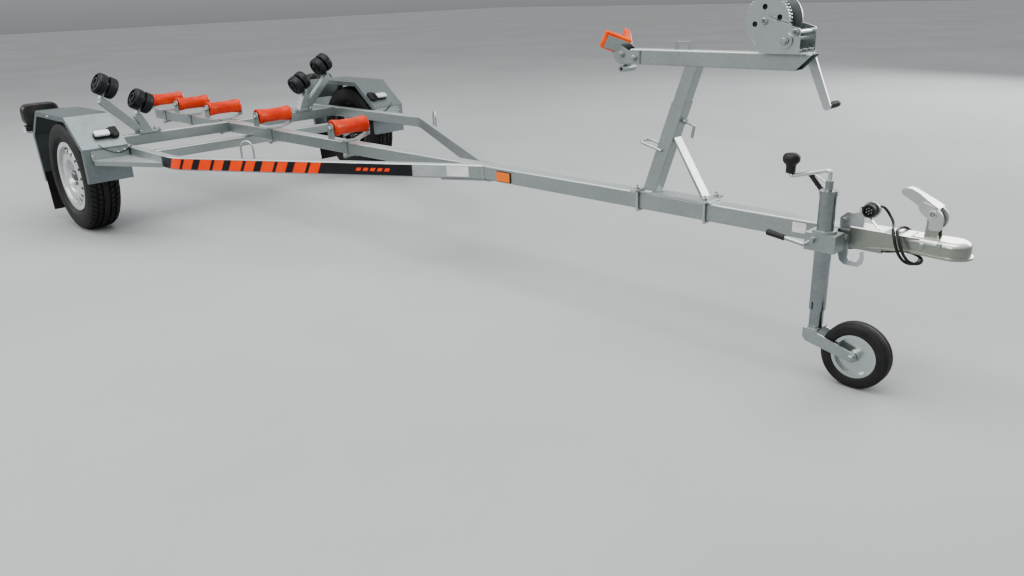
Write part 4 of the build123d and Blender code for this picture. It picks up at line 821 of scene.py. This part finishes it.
# Half of the solid tyre with its grooves, as (radius, y)
JOCKEY_TYRE = [(66, 22), (69, 24.2), (74, 25), (88, 25), (93, 24), (97, 21), (99.4, 17), (100, 13),
               (100, 10.5), (98.2, 9.6), (98.2, 7.4), (100, 6.5)]
KNOB_PLACE = (JOCKEY_X - 120, JOCKEY_Y, 610)
# Knob of the crank and sleeve of the clamp's lock handle, as (radius, distance from the foot)
KNOB_PROFILE = ((6, 0), (13, 0), (14, 1.5), (14, 17), (14.6, 22), (17.5, 26.5), (21.5, 30), (24.4, 34.5),
                (25.2, 41), (24.6, 47.5), (22.4, 53), (18, 56.3), (10, 57.5), (0, 57.8))
LOCK_GRIP_PROFILE = ((6.2, 0), (8.2, 0), (9.2, 1.5), (9.2, 7), (8.8, 10), (9.2, 18), (9.6, 40), (10.2, 50),
                     (9.8, 56), (7, 58.6), (0, 59))


def jockey_wheel():
    """Solid tyre, and the nuts on the wheel's axle."""
    centre = at(JOCKEY_WHEEL_X, JOCKEY_Y, JOCKEY_RADIUS)
    profile = mirrored(JOCKEY_TYRE) + [(66, -22)]
    tyre = piece("solid_jockey_tyre", *turned(profile, centre, 96), SOLID_TYRE, "jockey_wheel",
                 "jockey_tyre", 30)
    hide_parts("jockey_tyre")
    ends = [(at(JOCKEY_WHEEL_X, JOCKEY_Y + s * 34, JOCKEY_RADIUS), (0, s, 0)) for s in (-1, 1)]
    bolts("jockey_axle_nuts", "jockey_fork", ends, across=19, head=8, thread=6, end=4)


def jockey_grips():
    """Knob on the crank, and the sleeve on the clamp's lock handle."""
    upright = Matrix.Translation(at(*KNOB_PLACE)) @ Matrix.Rotation(math.radians(90), 4, "X")
    knob = piece("jockey_crank_knob", *moved(turned(KNOB_PROFILE, steps=48), upright), BLACK_PLASTIC,
                 "jockey_tube", "black_plastic")
    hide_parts("jockey_knob")
    sleeve = moved(turned(LOCK_GRIP_PROFILE, steps=32), aimed(at(3620, -140, 425.4), at(3562, -140, 434.6)))
    piece("lock_handle_grip", *sleeve, BLACK_PLASTIC, "frame", "black_plastic")


def crank_clip():
    """Wire bail with a ribbed rubber sleeve that hangs from the jockey tube's neck and holds the crank."""
    sleeve = [(3, 0), (6.5, 0), (7.5, 1.5)]
    for k in range(6):
        sleeve += [(7.5, 6 + 8 * k), (6.2, 7.5 + 8 * k), (6.2, 9 + 8 * k), (7.5, 10.5 + 8 * k)]
    sleeve += [(7.5, 55), (6, 57), (3, 57)]
    along_sleeve = aimed(at(3688, -74, 568), at(3650, -74, 609))
    piece("crank_clip_sleeve", *moved(turned(sleeve, steps=24), along_sleeve), BLACK_PLASTIC, "jockey_tube",
          "black_plastic", 30)
    bail = ((3712, -84, 584), (3703, -78, 575), (3692, -74, 564), (3670, -74, 587), (3648, -74, 611.5),
            (3662, -77, 611), (3690, -86, 600), (3712, -92, 592))
    wire("crank_clip_bail", [at(*spot) for spot in bail], 2.4, ZINC_PLATED, "jockey_tube", "galvanised")


# Rollers

KEEL_ROLLER_X = (1205.0, 474.0, -110.0, -528.0, -908.0)
KEEL_ROLLER_Z = 530.0
# Half of a keel roller and the bush in its end, as (radius, y)
KEEL_ROLLER_HALF = [(14, 96), (33, 96), (33.5, 99.5), (35, 100), (38, 99.3), (40.2, 97.4), (41, 94.5),
                    (41, 84), (40.6, 83), (39.8, 82.4), (39.8, 80), (39.4, 78), (38, 64), (36.6, 54),
                    (36, 46)]
KEEL_BUSH = ((8.1, 101.5), (13.5, 101.5), (14, 101), (14, 95), (8.1, 95))
# Distance from the middle and height of each bilge roller, and how far it leans
BILGE_PLACES = {"outer": (680.0, 727.0), "inner": (504.0, 628.0)}
BILGE_TILT = 29.0
BILGE_X = -50.0
# Half of a bilge roller: a hollow hub, a moulded wheel with two treads, and the neck, as (radius, y)
BILGE_ROLLER_HALF = [(0, 47), (17, 47), (19, 54), (26, 54), (27.5, 52.5), (28, 45), (40, 45), (41, 52),
                     (43, 53.6), (47, 53), (52.5, 49.5), (56.5, 44), (58, 37), (58, 26), (57, 25), (57, 22),
                     (58, 21), (58, 10), (56.5, 8.2), (14, 8)]


def keel_rollers():
    """Waisted rollers with a bush in each end, in a row along the drawbar."""
    for number, x in enumerate(KEEL_ROLLER_X, start=1):
        body = f"keel_roller_{number}"
        centre = at(x, 0, KEEL_ROLLER_Z)
        tread = turned(mirrored(KEEL_ROLLER_HALF) + [(14, -96)], centre, 72)
        roller = piece(f"keel_roller_tread_{number}", *tread, ORANGE_ROLLER, body, "roller_rubber", 25)
        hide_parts(body)
        ends = [turned([(r, s * y) for r, y in KEEL_BUSH], centre, 32) for s in (-1, 1)]
        piece(f"keel_roller_bushes_{number}", *joined(*ends), BLACK_PLASTIC, body, "black_plastic")


def bilge_rollers():
    """Two moulded halves on one neck, with a hollow hub in each end."""
    halves = turned(mirrored(BILGE_ROLLER_HALF), steps=72)
    for side, sign in SIDES:
        for place, (y, z) in BILGE_PLACES.items():
            body = f"bilge_roller_{side}_{place}"
            lean = Matrix.Rotation(sign * math.radians(BILGE_TILT), 4, "X")
            leant = moved(halves, Matrix.Translation(at(BILGE_X, sign * y, z)) @ lean)
            name = f"bilge_roller_halves_{side}_{place}"
            roller = piece(name, *leant, BLACK_ROLLER, body, "bilge_rubber", 25)
            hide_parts(body)


# Lamps and reflectors

RAIL_REAR_X = -420.0
LAMP_FRONT_X = RAIL_REAR_X - 6
LAMP_DEPTH = 72
# How far each section of the lamp's housing lies behind its front, and how far its outline is drawn in
LAMP_SECTIONS = ((0, 9), (1.5, 4.5), (5, 1.5), (10, 0), (56, 0), (64, 2), (69, 6), (LAMP_DEPTH, 12))
# Outlines seen from behind: distance from the trailer's middle, then height, each from low to high
LAMP_OUTLINE = (815, 1002, 520, 637)
LAMP_CORNER = 38
NUMBER_LAMP_BOX = (958, 1000, 492, 524)
NUMBER_LAMP_WINDOW = (956, 1002, 478, 516)
RED_ZONE = (835, 912, 530, 626)
AMBER_ZONE = (916, 976, 530, 626)


def from_behind(sign):
    """Place for a slab whose outline is seen from behind: u outwards, v up and its depth along X."""
    return lambda u, v, w: at(w, sign * u, v)


def lamp_housing(sign):
    """Rounded moulded shell of one rear lamp, lofted from front to back, with the number lamp's box below."""
    u0, u1, v0, v1 = LAMP_OUTLINE
    verts = []
    for depth, inset in LAMP_SECTIONS:
        outline = rounded_rectangle(u0 + inset, u1 - inset, v0 + inset, v1 - inset,
                                    LAMP_CORNER - inset * 0.6, 7)
        verts += [at(LAMP_FRONT_X - depth, sign * u, v) for u, v in outline]
    sections, count = len(LAMP_SECTIONS), len(outline)
    shell = verts, walls(sections, count) + caps(sections, count)
    box = slab(rounded_rectangle(*NUMBER_LAMP_BOX, 7), LAMP_FRONT_X - 54, LAMP_FRONT_X - 13,
               from_behind(sign))
    return joined(shell, box)


def tail_lamps():
    """Housing of each rear lamp, the red and amber lens on its back, and the clear window under it."""
    housings = piece("tail_lamp_housings", *joined(lamp_housing(-1), lamp_housing(1)), LAMP_HOUSING, "frame",
                     "lamp_housing", 40)
    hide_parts("tail_lamps")
    back = LAMP_FRONT_X - LAMP_DEPTH
    for side, sign in SIDES:
        for label, zone, material in (("red", RED_ZONE, RED_LENS), ("amber", AMBER_ZONE, AMBER_LENS)):
            lens = slab(rounded_rectangle(*zone, 12), back - 5, back + 3, from_behind(sign))
            piece(f"{label}_lamp_lens_{side}", *lens, material, "frame", "lamp_housing", bevel=0.002)
        window = slab(rounded_rectangle(*NUMBER_LAMP_WINDOW, 6), back + 4, back + 44, from_behind(sign))
        piece(f"number_lamp_window_{side}", *window, CLEAR_LENS, "frame", "marker_lens", bevel=0.0015)


# The fender's front slope from top to bottom as (x, z), and how far down it the marker lamp stands
SLOPE_TOP = (180, 615)
SLOPE_FOOT = (365, 470)
MARKER_SHARE = 0.62
MARKER_ARM_Y = 800
# Outline of the arm's foot on the slope: u outwards and v down the slope from the arm's place
MARKER_ARM = ((-17, -28), (-10, -32), (16, -30), (34, -22), (34, 20), (28, 30), (8, 38), (-12, 30), (-17, 22))
MARKER_LEAD = ((358, 908, 486), (370, 903, 476), (372, 880, 456), (374, 842, 437), (374, 803, 434),
               (373, 768, 450), (370, 752, 464))


def marker_lamps():
    """White lens in a rubber arm that stands off the fender's front slope, and its lead."""
    run, fall = SLOPE_FOOT[0] - SLOPE_TOP[0], SLOPE_TOP[1] - SLOPE_FOOT[1]
    foot_x, foot_z = SLOPE_TOP[0] + run * MARKER_SHARE, SLOPE_TOP[1] - fall * MARKER_SHARE
    lean = math.atan2(fall, run)
    down = Vector((math.cos(lean), 0, -math.sin(lean)))
    off = Vector((math.sin(lean), 0, math.cos(lean)))
    arms, lenses, bases = [], [], []
    for side, sign in SIDES:
        def place(u, v, w):
            """u outwards, v down the slope, w off the slope, from the arm's foot."""
            return at(foot_x, sign * (MARKER_ARM_Y + u), foot_z) + down * v / 1000 + off * w / 1000

        arms.append(slab(MARKER_ARM, 0, 17, place))
        arms.append(slab(rounded_rectangle(16, 30, -10, 30, 4), 2, 26, place))
        lenses.append(slab(rounded_rectangle(30, 104, -7, 27, 6), 12, 25, place))
        bases.append(slab(rounded_rectangle(28, 106, -9, 29, 7), 2, 13, place))
    arm = piece("marker_lamp_arms", *joined(*arms), FLAP_RUBBER, "frame", "flap_rubber", bevel=0.003,
                bevel_steps=3)
    piece("marker_lamp_lenses", *joined(*lenses), CLEAR_LENS, "frame", "marker_lens", bevel=0.003,
          bevel_steps=3)
    piece("marker_lamp_bases", *joined(*bases), BLACK_PLASTIC, "frame", "black_plastic", bevel=0.002)
    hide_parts("marker_lamps")
    for side, sign in SIDES:
        lead = [at(x, sign * y, z) for x, y, z in MARKER_LEAD]
        wire(f"marker_lamp_lead_{side}", lead, 2.2, BLACK_SHEATH, "frame", "cable_sheath")


def side_reflectors():
    """Amber reflector in a thin black frame on each side of the drawbar."""
    reflectors, frames = [], []
    for side, sign in SIDES:
        place = lambda u, v, w: at(u, sign * w, v)
        reflectors.append(slab(rounded_rectangle(2293, 2368, 402, 440, 3), 33, 36.5, place))
        frames.append(slab(rounded_rectangle(2290, 2371, 399, 443, 5), 30, 34, place))
    shown = piece("side_reflector_faces", *joined(*reflectors), REFLECTOR, "frame", "side_reflector",
                  bevel=0.001)
    piece("side_reflector_frames", *joined(*frames), BLACK_PLASTIC, "frame", "black_plastic", bevel=0.001)
    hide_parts("side_reflectors")


# Winch

DRUM = (3461.0, 1031.0)
PINION = (3530.0, 977.0)
CRANK_LENGTH = 212.0
CRANK_ANGLE = -66
CRANK_ARM_Y = 72
# The wound webbing: its turns, the radius inside and outside, its thickness and its two edges
STRAP_TURNS = 15
STRAP_STEPS = 48
STRAP_INNER = 20.5
STRAP_OUTER = 51.5
STRAP_THICK = 1.7
STRAP_EDGES = (-29.5, 29.3)


def wound_strap():
    """Webbing wound on the drum in a spiral, as one strip."""
    low, high = STRAP_EDGES
    steps = STRAP_TURNS * STRAP_STEPS
    verts = []
    for i in range(steps + 1):
        angle = 2 * math.pi * i / STRAP_STEPS
        inner = STRAP_INNER + (STRAP_OUTER - STRAP_INNER - STRAP_THICK) * i / steps
        for r, y in ((inner + STRAP_THICK, low), (inner + STRAP_THICK, high), (inner, high), (inner, low)):
            verts.append(at(DRUM[0] + r * math.cos(angle), y, DRUM[1] + r * math.sin(angle)))
    strap = piece("wound_winch_strap", verts, walls(steps + 1, 4) + caps(steps + 1, 4), WEBBING, "winch_drum",
                  "webbing", 40)
    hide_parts("strap_coil")


def winch_fittings():
    """Nuts on the winch's rods and its pinion's shaft, and the bolts that hold it on its beam."""
    rods = both_sides([(DRUM[0], 52, DRUM[1]), (3561, 52, 1001)])
    bolts("winch_rod_nuts", "winch_post", rods, head=6, thread=6, end=2)
    floor = [(at(3567, y, 944), UP) for y in (-36, 0, 36)]
    bolts("winch_floor_bolts", "winch_post", floor, across=15, end=3)
    shaft_ends = [(at(PINION[0], y, PINION[1]), (0, math.copysign(1, y), 0)) for y in (-60, CRANK_ARM_Y)]
    bolts("pinion_nuts", "winch_crank", shaft_ends, head=5, washer=13, thread=6, end=1)


def hand_grip():
    """Ribbed grip on the end of the winch's crank."""
    angle = math.radians(CRANK_ANGLE)
    end_x, end_z = PINION[0] + CRANK_LENGTH * math.cos(angle), PINION[1] + CRANK_LENGTH * math.sin(angle)
    profile = [(0, 0), (7.6, 0), (8.4, 1.5), (9.2, 6)]
    for k in range(6):
        y = 9 + 7.5 * k
        profile += [(9.2, y), (10.4, y + 1.8), (10.4, y + 4.4), (9.2, y + 6)]
    profile += [(10.4, 56), (10.2, 66), (9.2, 72), (5, 75.4), (0, 76)]
    grip = piece("crank_hand_grip", *turned(profile, at(end_x, CRANK_ARM_Y, end_z), 40), BLACK_PLASTIC,
                 "winch_crank", "black_plastic", 40)
    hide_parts("crank_grip")


# Bow stop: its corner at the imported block's foot, how far it leans back, and half of its vee as (u, v)
BOW_STOP_PLACE = (2932, 938)
BOW_STOP_RAKE = math.radians(30)
BOW_STOP_VEE = [(0, 0), (62, -60), (68, -62), (76, -60), (80, -52), (78, -49), (29, -3), (26, 0)]


def bow_stop_block():
    """Moulded rubber vee with rounded edges, and the bolts through its bracket."""
    outline = BOW_STOP_VEE + [(u, -v) for u, v in BOW_STOP_VEE[-2:0:-1]]
    ahead, up = math.cos(BOW_STOP_RAKE), math.sin(BOW_STOP_RAKE)

    def place(u, v, w):
        return at(BOW_STOP_PLACE[0] - ahead * u + up * w, v, BOW_STOP_PLACE[1] + up * u + ahead * w)

    block = piece("bow_stop_rubber", *slab(outline, -30, 30, place), ORANGE_BLOCK, "winch_post",
                  "bow_rubber", 45, bevel=0.005, bevel_steps=4)
    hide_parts("bow_stop")
    bolts("bow_stop_bolts", "winch_post", both_sides([(2925, 29, 922), (2978, 29, 912)]), washer=13)


# Coupling, plug and cable

PLUG = (3822.0, -30.0, 520.0)
# Shell and pin of the plug, as (radius, y) from its middle
PLUG_SHELL = ((0, -16), (14.5, -16), (14.5, -26), (17.8, -26), (19, -24.6), (19, -0.6), (22, -0.4), (22, 10),
              (20, 11.5), (15.5, 14), (14.2, 20), (15, 21), (14.6, 24), (13.4, 25), (13.2, 31), (9.5, 34),
              (7, 40), (4.2, 40), (4.2, 30), (0, 30))
PLUG_PIN = ((0, -24.5), (1.5, -24), (1.9, -22.5), (1.9, -15.5), (0, -15.5))
PIN_CIRCLE = 8.6
# Cover and its spring strip, as (x, z)
PLUG_COVER = ((3798, 529), (3801.5, 531), (3804, 522), (3803.5, 512), (3800, 509), (3797.5, 516))
COVER_SPRING = ((3822, 500.8), (3824, 502.2), (3851, 473.5), (3858, 471), (3857.5, 468.8), (3849, 471.6))


def trailer_plug():
    """Seven-pin plug: ribbed shell, socket face with its pins, key, and cover with its spring."""
    centre = at(*PLUG)
    plug = piece("trailer_plug_shell", *turned(PLUG_SHELL, centre, 64), BLACK_PLASTIC, "frame",
                 "black_plastic", 30)
    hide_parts("plug")
    angles = [math.radians(60 * k + 30) for k in range(6)]
    places = [(0, 0)] + [(PIN_CIRCLE * math.cos(angle), PIN_CIRCLE * math.sin(angle)) for angle in angles]
    pins = [turned(PLUG_PIN, centre + Vector((u, 0, v)) / 1000, 12) for u, v in places]
    piece("trailer_plug_pins", *joined(*pins), ZINC_PLATED, "frame", "black_plastic", 40)
    key = [(PLUG[0] + u, PLUG[2] + v) for u, v in ((-2.5, 12.4), (2.5, 12.4), (2.5, 15), (-2.5, 15))]
    piece("trailer_plug_key", *slab(key, PLUG[1] - 25, PLUG[1] - 10), BLACK_PLASTIC, "frame", "black_plastic")
    cover = joined(slab(PLUG_COVER, -56, -44), slab(COVER_SPRING, -50, -40))
    piece("plug_cover_spring", *cover, ZINC_PLATED, "frame", "galvanised", bevel=0.0006)
    return plug


# The cable's route: from the plug twice round the coupling and back under it to the gland
CABLE_ROUTE = (
    (3822, 10, 520), (3822, 34, 519), (3829, 55, 506), (3840, 62, 487), (3855, 51, 473),
    (3867, 26, 467), (3877, -4, 468), (3887, -34, 473), (3898, -51, 458), (3905, -53, 434),
    (3915, -52, 410), (3931, -46, 389), (3950, -27, 381), (3955, 4, 383), (3946, 34, 388),
    (3931, 51, 405), (3916, 56, 432), (3903, 51, 458), (3894, 29, 470), (3890, -4, 468),
    (3898, -34, 472), (3910, -53, 459), (3919, -56, 434), (3931, -55, 410), (3948, -51, 391),
    (3967, -30, 386), (3966, 2, 392), (3940, 13, 400), (3907, 16, 403), (3880, 19, 395),
    (3850, 18, 389), (3815, 21, 388), (3780, 20, 386), (3748, 22, 381), (3724, 21, 369),
    (3708, 22, 366), (3700, 22, 374), (3700, 22, 385),
)
CABLE_THICKNESS = 0.008


def lamp_cable(plug):
    """The lamps' cable as a cord; the plug that it is given is not used."""
    cable = smooth_line("lamp_cable", [at(*spot) for spot in CABLE_ROUTE], 1000 * CABLE_THICKNESS / 2, 4, 12)
    cable.data.materials.append(BLACK_SHEATH)
    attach(cable, "frame")
    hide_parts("cable")


# The coupling's lever: its pin, its half width at the grip and at the cheeks, and where it widens
LEVER_PIN = (3982, 530)
LEVER_HALF = 12.6
CHEEK_HALF = 23
LEVER_WIDENS = (3930, 3985)
# Cheek and arm as (x, z)
LEVER_CHEEK = ((3940, 548), (3954, 560), (3974, 553), (3992, 544), (4004, 534), (4010, 520), (4010, 505),
               (4005, 492), (3997, 485), (3977, 485), (3974, 492), (3975, 506), (3970, 516), (3960, 522),
               (3948, 532))
LEVER_ARM = ((3888.8, 578), (3890, 583.5), (3893.5, 587.4), (3899, 590), (3908, 591), (3919, 589),
             (3938.5, 579.8), (3958, 568.8), (3968, 563.2), (3978, 557.8), (3988, 552.2), (3996, 547),
             (3992, 545.8), (3986, 548.4), (3978, 548.4), (3971, 545.2), (3966, 539.6), (3963.4, 532),
             (3952, 537), (3943.5, 541), (3931, 549.5), (3920, 557), (3908, 563.5), (3899, 567.8),
             (3892.5, 571.4), (3889.6, 574.6))
# Raised eye round the pin on the right cheek, as (radius, y)
LEVER_EYE = ((6.5, 22), (10.5, 22), (10.5, 25.5), (9.8, 26.2), (7.2, 26.2), (6.5, 25.5), (6.5, 22))


def lever_place(x, z, side):
    """Point on the side of the lever's arm, which widens from its grip to the cheeks."""
    start, end = LEVER_WIDENS
    share = min(max((x - start) / (end - start), 0), 1)
    half = LEVER_HALF + (CHEEK_HALF - LEVER_HALF) * share * share * (3 - 2 * share)
    return at(x, side * half, z)


def lever_casting():
    """Arm of the coupling's lever, with a cheek and an eye on each side."""
    shapes = [slab(LEVER_CHEEK, s * 18.6, s * CHEEK_HALF) for s in (-1, 1)]
    shapes.append(slab(LEVER_ARM, -1, 1, lever_place))
    for s in (-1, 1):
        shapes.append(turned([(r, s * y) for r, y in LEVER_EYE], at(LEVER_PIN[0], 0, LEVER_PIN[1]), 40))
    piece("coupling_lever_cheeks", *joined(*shapes), CAST_LEVER, "coupling_handle", "zinc_coupling",
          bevel=0.002, bevel_steps=3)


def coupling_fittings():
    """Bolts through the coupling, black sheets beside them that paint the shade in its slots, the lever, and
    the bolts near them.
    """
    bolts("coupling_bolts", "frame", both_sides([(3969, 35, 442), (4015, 35, 450)]), washer=11, end=4)
    # Painted shade: thin black sheets on the coupling's sides stand for its dark slots
    slot_shades = [slab(rounded_rectangle(3975, 3998, 440, 449, 4), s * 34.6, s * 35.2) for s in (-1, 1)]
    piece("coupling_slot_shade_sheets", *joined(*slot_shades), BLACK_PLASTIC, "frame", "zinc_coupling")
    lever_casting()
    bolts("handle_pin_nuts", "frame", both_sides([(LEVER_PIN[0], 18, LEVER_PIN[1])]), across=12, head=5,
          washer=8.5, thread=4, end=4)
    holder, strap = [(at(3750, -34, 480), (0, -1, 0))], [(at(3753, -35, 425), (0, -1, 0))]
    bolts("plug_holder_bolt", "frame", holder, across=13, head=6, washer=10, thread=4, end=3)
    bolts("hook_strap_bolt", "frame", strap, end=4)


# Bolts on the frame

def frame_fasteners():
    """Bolts and nuts where the frame's steel parts are clamped together."""
    axle_plates = both_sides([(x, y, 384.5) for x in (105, 225) for y in (737, 755)], DOWN)
    bolts("axle_plate_bolts", "frame", axle_plates, head=8, washer=11, end=6)
    fender = both_sides([(369, 951, 434), (369, 823, 438), (369, 790, 446)], FORWARD)
    fender += both_sides([(-60, 990, 602)])
    fender += both_sides([(-353, y, 247) for y in (800, 880, 960)], (-0.991, 0, -0.134))
    bolts("fender_bolts", "frame", fender, across=10, head=4, washer=6.5, thread=3, end=1,
          material=GALVANISED_BRIGHT)
    brackets = both_sides([place for x in KEEL_ROLLER_X for place in ((x, 108, KEEL_ROLLER_Z), (x, 35, 385))])
    bolts("keel_bracket_bolts", "frame", brackets, across=19, head=8, washer=14, thread=6, end=3)
    post_base = both_sides([(3006, 35.5, 467), (3279, 35.5, 467)], UP)
    bolts("post_base_nuts", "frame", post_base, head=8, washer=11, end=7)
    bilge_clamps = both_sides([(x, y, 463) for x in (-80, -20) for y in (442, 546)], UP)
    bolts("bilge_clamp_nuts", "frame", bilge_clamps, head=8, washer=11, end=8)
    junction = both_sides([(2166, 31, 440), (2190, 31, 440)])
    bolts("junction_bolts", "frame", junction, across=13, head=6, washer=9, thread=4, end=3)
    lamps = both_sides([(LAMP_FRONT_X, y, z) for y, z in ((746, 412), (746, 438), (870, 575))], BACK)
    bolts("lamp_bracket_bolts", "frame", lamps, across=13, head=6, washer=10, thread=4, end=3)


# Film and labels on the right rail's outer face

BEND_X = 805.3
BEND_TURN = math.radians(28.7)
BEND_OUTER = 240.0
RAIL_FACE_Y = 766.0
BEND_LENGTH = BEND_OUTER * BEND_TURN
# Length of the film's flat facets round the bend
FILM_STEP = 4
# Slanting pairs of bars: where each of them starts and ends in its pair, and how far the pairs are apart
BAR_PAIRS = 5
BAR_FIRST = 26
BAR_PITCH = 165
BARS = ((0, 62), (78, 128))
SMALL_BARS = 5
SMALL_BAR_PITCH = 34


def rail_face(distance, off):
    """Point (x, y) off the right rail's outer face, at a distance along it from where the bend starts."""
    reach = BEND_OUTER + off
    if distance < 0:
        return BEND_X + distance, -RAIL_FACE_Y - off
    angle = min(distance, BEND_LENGTH) / BEND_OUTER
    x = BEND_X + reach * math.sin(angle)
    y = -RAIL_FACE_Y + BEND_OUTER - reach * math.cos(angle)
    past = max(distance - BEND_LENGTH, 0)
    return x + past * math.cos(BEND_TURN), y + past * math.sin(BEND_TURN)


def rail_film(name, sheets, off, material, thick=0.25):
    """Film on the rail: each sheet is (start, end, low, high, slant) in millimetres along the face and up."""
    shapes = []
    for start, end, low, high, slant in sheets:
        steps = max(2, int((end - start) / FILM_STEP))
        corners = ((low, 0, off), (low, 0, off + thick), (high, slant, off + thick), (high, slant, off))
        verts = []
        for i in range(steps + 1):
            for z, lead, depth in corners:
                x, y = rail_face(start + (end - start) * i / steps + lead, depth)
                verts.append(at(x, y, z))
        shapes.append((verts, walls(steps + 1, 4) + caps(steps + 1, 4)))
    return piece(name, *joined(*shapes), material, "frame", "galvanised", 30)


def rail_graphics():
    """Black film with slanting orange bars, a silver and a white label, and two labels further forward."""
    rail_film("rail_black_film", [(-58, 1268, 401, 449.5, 0)], 0.2, BLACK_FILM)
    starts = [BAR_FIRST + BAR_PITCH * k for k in range(BAR_PAIRS)]
    bars = [(start + a, start + b, 401.5, 449, 22) for start in starts for a, b in BARS]
    rail_film("rail_orange_bars", bars, 0.75, ORANGE_FILM)
    starts = [1000 + SMALL_BAR_PITCH * k for k in range(SMALL_BARS)]
    rail_film("rail_small_bars", [(start, start + 22, 418, 432, 8) for start in starts], 0.5, ORANGE_FILM)
    rail_film("rail_silver_label", [(1272, 1424, 402, 449, 0)], 0.2, SILVER_FILM)
    rail_film("rail_white_label", [(1426, 1524, 405, 448, 0)], 0.2, WHITE_FILM)
    label = slab(rounded_rectangle(3588, 3632, 414, 446, 2), -30.5, -30.1)
    piece("drawbar_label", *label, WHITE_FILM, "frame", "galvanised")
    top = slab(rounded_rectangle(3862, 3898, -26, 8, 3), 460.1, 460.5, lambda u, v, w: at(u, v, w))
    piece("coupling_top_label", *top, PALE_LABEL, "frame", "zinc_coupling")


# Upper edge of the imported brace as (x, z), and the flat bar on it
BRACE_TOP = (3139.5, 656.0)
BRACE_FOOT = (3266.5, 461.0)
BRACE_BAR_THICK = 3.2
BRACE_BAR_HALF = 20


def brace_plate():
    """Flat bar along the top of the post's brace, as wide as the photograph shows it."""
    (top_x, top_z), (foot_x, foot_z) = BRACE_TOP, BRACE_FOOT
    share = BRACE_BAR_THICK / math.hypot(foot_x - top_x, foot_z - top_z)
    off_x, off_z = (top_z - foot_z) * share, (foot_x - top_x) * share
    outline = [BRACE_TOP, (top_x + off_x, top_z + off_z), (foot_x + off_x, foot_z + off_z), BRACE_FOOT]
    bar = slab(outline, -BRACE_BAR_HALF, BRACE_BAR_HALF)
    piece("brace_flat_bar", *bar, GALVANISED_BRIGHT, "frame", "galvanised", bevel=0.0006)


# Welds

def welds():
    """Beads where the rails and the crossbeam meet the frame, and round the foot of the post."""
    runs = []
    for s in (-1, 1):
        runs.append([at(2209, s * 31, z) for z in (397, 415, 435, 453)])
        for y, z in ((726, 396), (726, 455), (30, 456)):
            runs.append([at(x, s * y, z) for x in (-78, -60, -40, -22)])
        runs.append([at(x, s * y, 462) for x, y in ((3019, 14), (3030, 26), (3046, 27), (3064, 26))])
    for number, run in enumerate(runs, start=1):
        wire(f"weld_bead_{number}", run, 3.2, GALVANISED_BRIGHT, "frame", "galvanised")


# Ground and light

# Width of the floor in metres
FLOOR_SIZE = 80.0


def studio():
    """Pale floor, soft panels above, near, far and behind, and a world that is pale above and dim below."""
    half = FLOOR_SIZE / 2
    corners = [(-half, -half, 0), (half, -half, 0), (half, half, 0), (-half, half, 0)]
    mesh = bpy.data.meshes.new("floor")
    mesh.from_pydata(corners, [], [(0, 1, 2, 3)])
    floor = bpy.data.objects.new("floor", mesh)
    bpy.context.scene.collection.objects.link(floor)
    material, tree, surface, coordinates = new_material("pale_floor")
    shade = add(tree, "ShaderNodeTexNoise", {"Vector": coordinates, "Scale": 0.6, "Detail": 5.0})
    base = add(tree, "ShaderNodeValToRGB", {"Fac": shade.outputs["Fac"]},
               [(0.3, colour("#a6a8a9")), (0.7, colour("#b0b2b3"))])
    link(tree, base.outputs["Color"], surface, "Base Color")
    surface.inputs["Roughness"].default_value = 0.85
    floor.data.materials.append(material)
    make_light("overhead_panel", (0.5, -0.5, 6.0), (0.5, 0, 0), (7.0, 5.0), 290)
    make_light("near_panel", (1.5, -6.0, 3.6), (0.6, 0, 0.4), (4.0, 2.5), 120, "#fffaf2")
    make_light("far_panel", (2.6, 7.5, 2.8), (0.8, 0, 0.4), (7.0, 3.0), 320)
    make_light("rear_panel", (-5.0, -4.5, 3.0), (-0.8, 0, 0.4), (3.0, 2.0), 110)
    world = bpy.data.worlds.new("studio")
    world.use_nodes = True
    tree = world.node_tree
    direction = add(tree, "ShaderNodeTexCoord").outputs["Generated"]
    height = add(tree, "ShaderNodeSeparateXYZ", {"Vector": direction}).outputs["Z"]
    sky = add(tree, "ShaderNodeMapRange", {"Value": height, "From Min": -0.15, "From Max": 0.9})
    tint = add(tree, "ShaderNodeValToRGB", {"Fac": sky.outputs[0]},
               [(0.0, colour("#4c4e51")), (1.0, colour("#ffffff")), (0.22, colour("#b9bcbf"))])
    background = tree.nodes["Background"]
    tree.links.new(tint.outputs["Color"], background.inputs["Color"])
    background.inputs["Strength"].default_value = 0.75
    bpy.context.scene.world = world
    bpy.context.scene.view_settings.look = "AgX - Medium High Contrast"


finish_packed_nodes()
road_wheels()
jockey_wheel()
jockey_grips()
crank_clip()
keel_rollers()
bilge_rollers()
tail_lamps()
marker_lamps()
side_reflectors()
wound_strap()
winch_fittings()
hand_grip()
bow_stop_block()
lamp_cable(trailer_plug())
coupling_fittings()
frame_fasteners()
brace_plate()
rail_graphics()
welds()
studio()
make_camera()
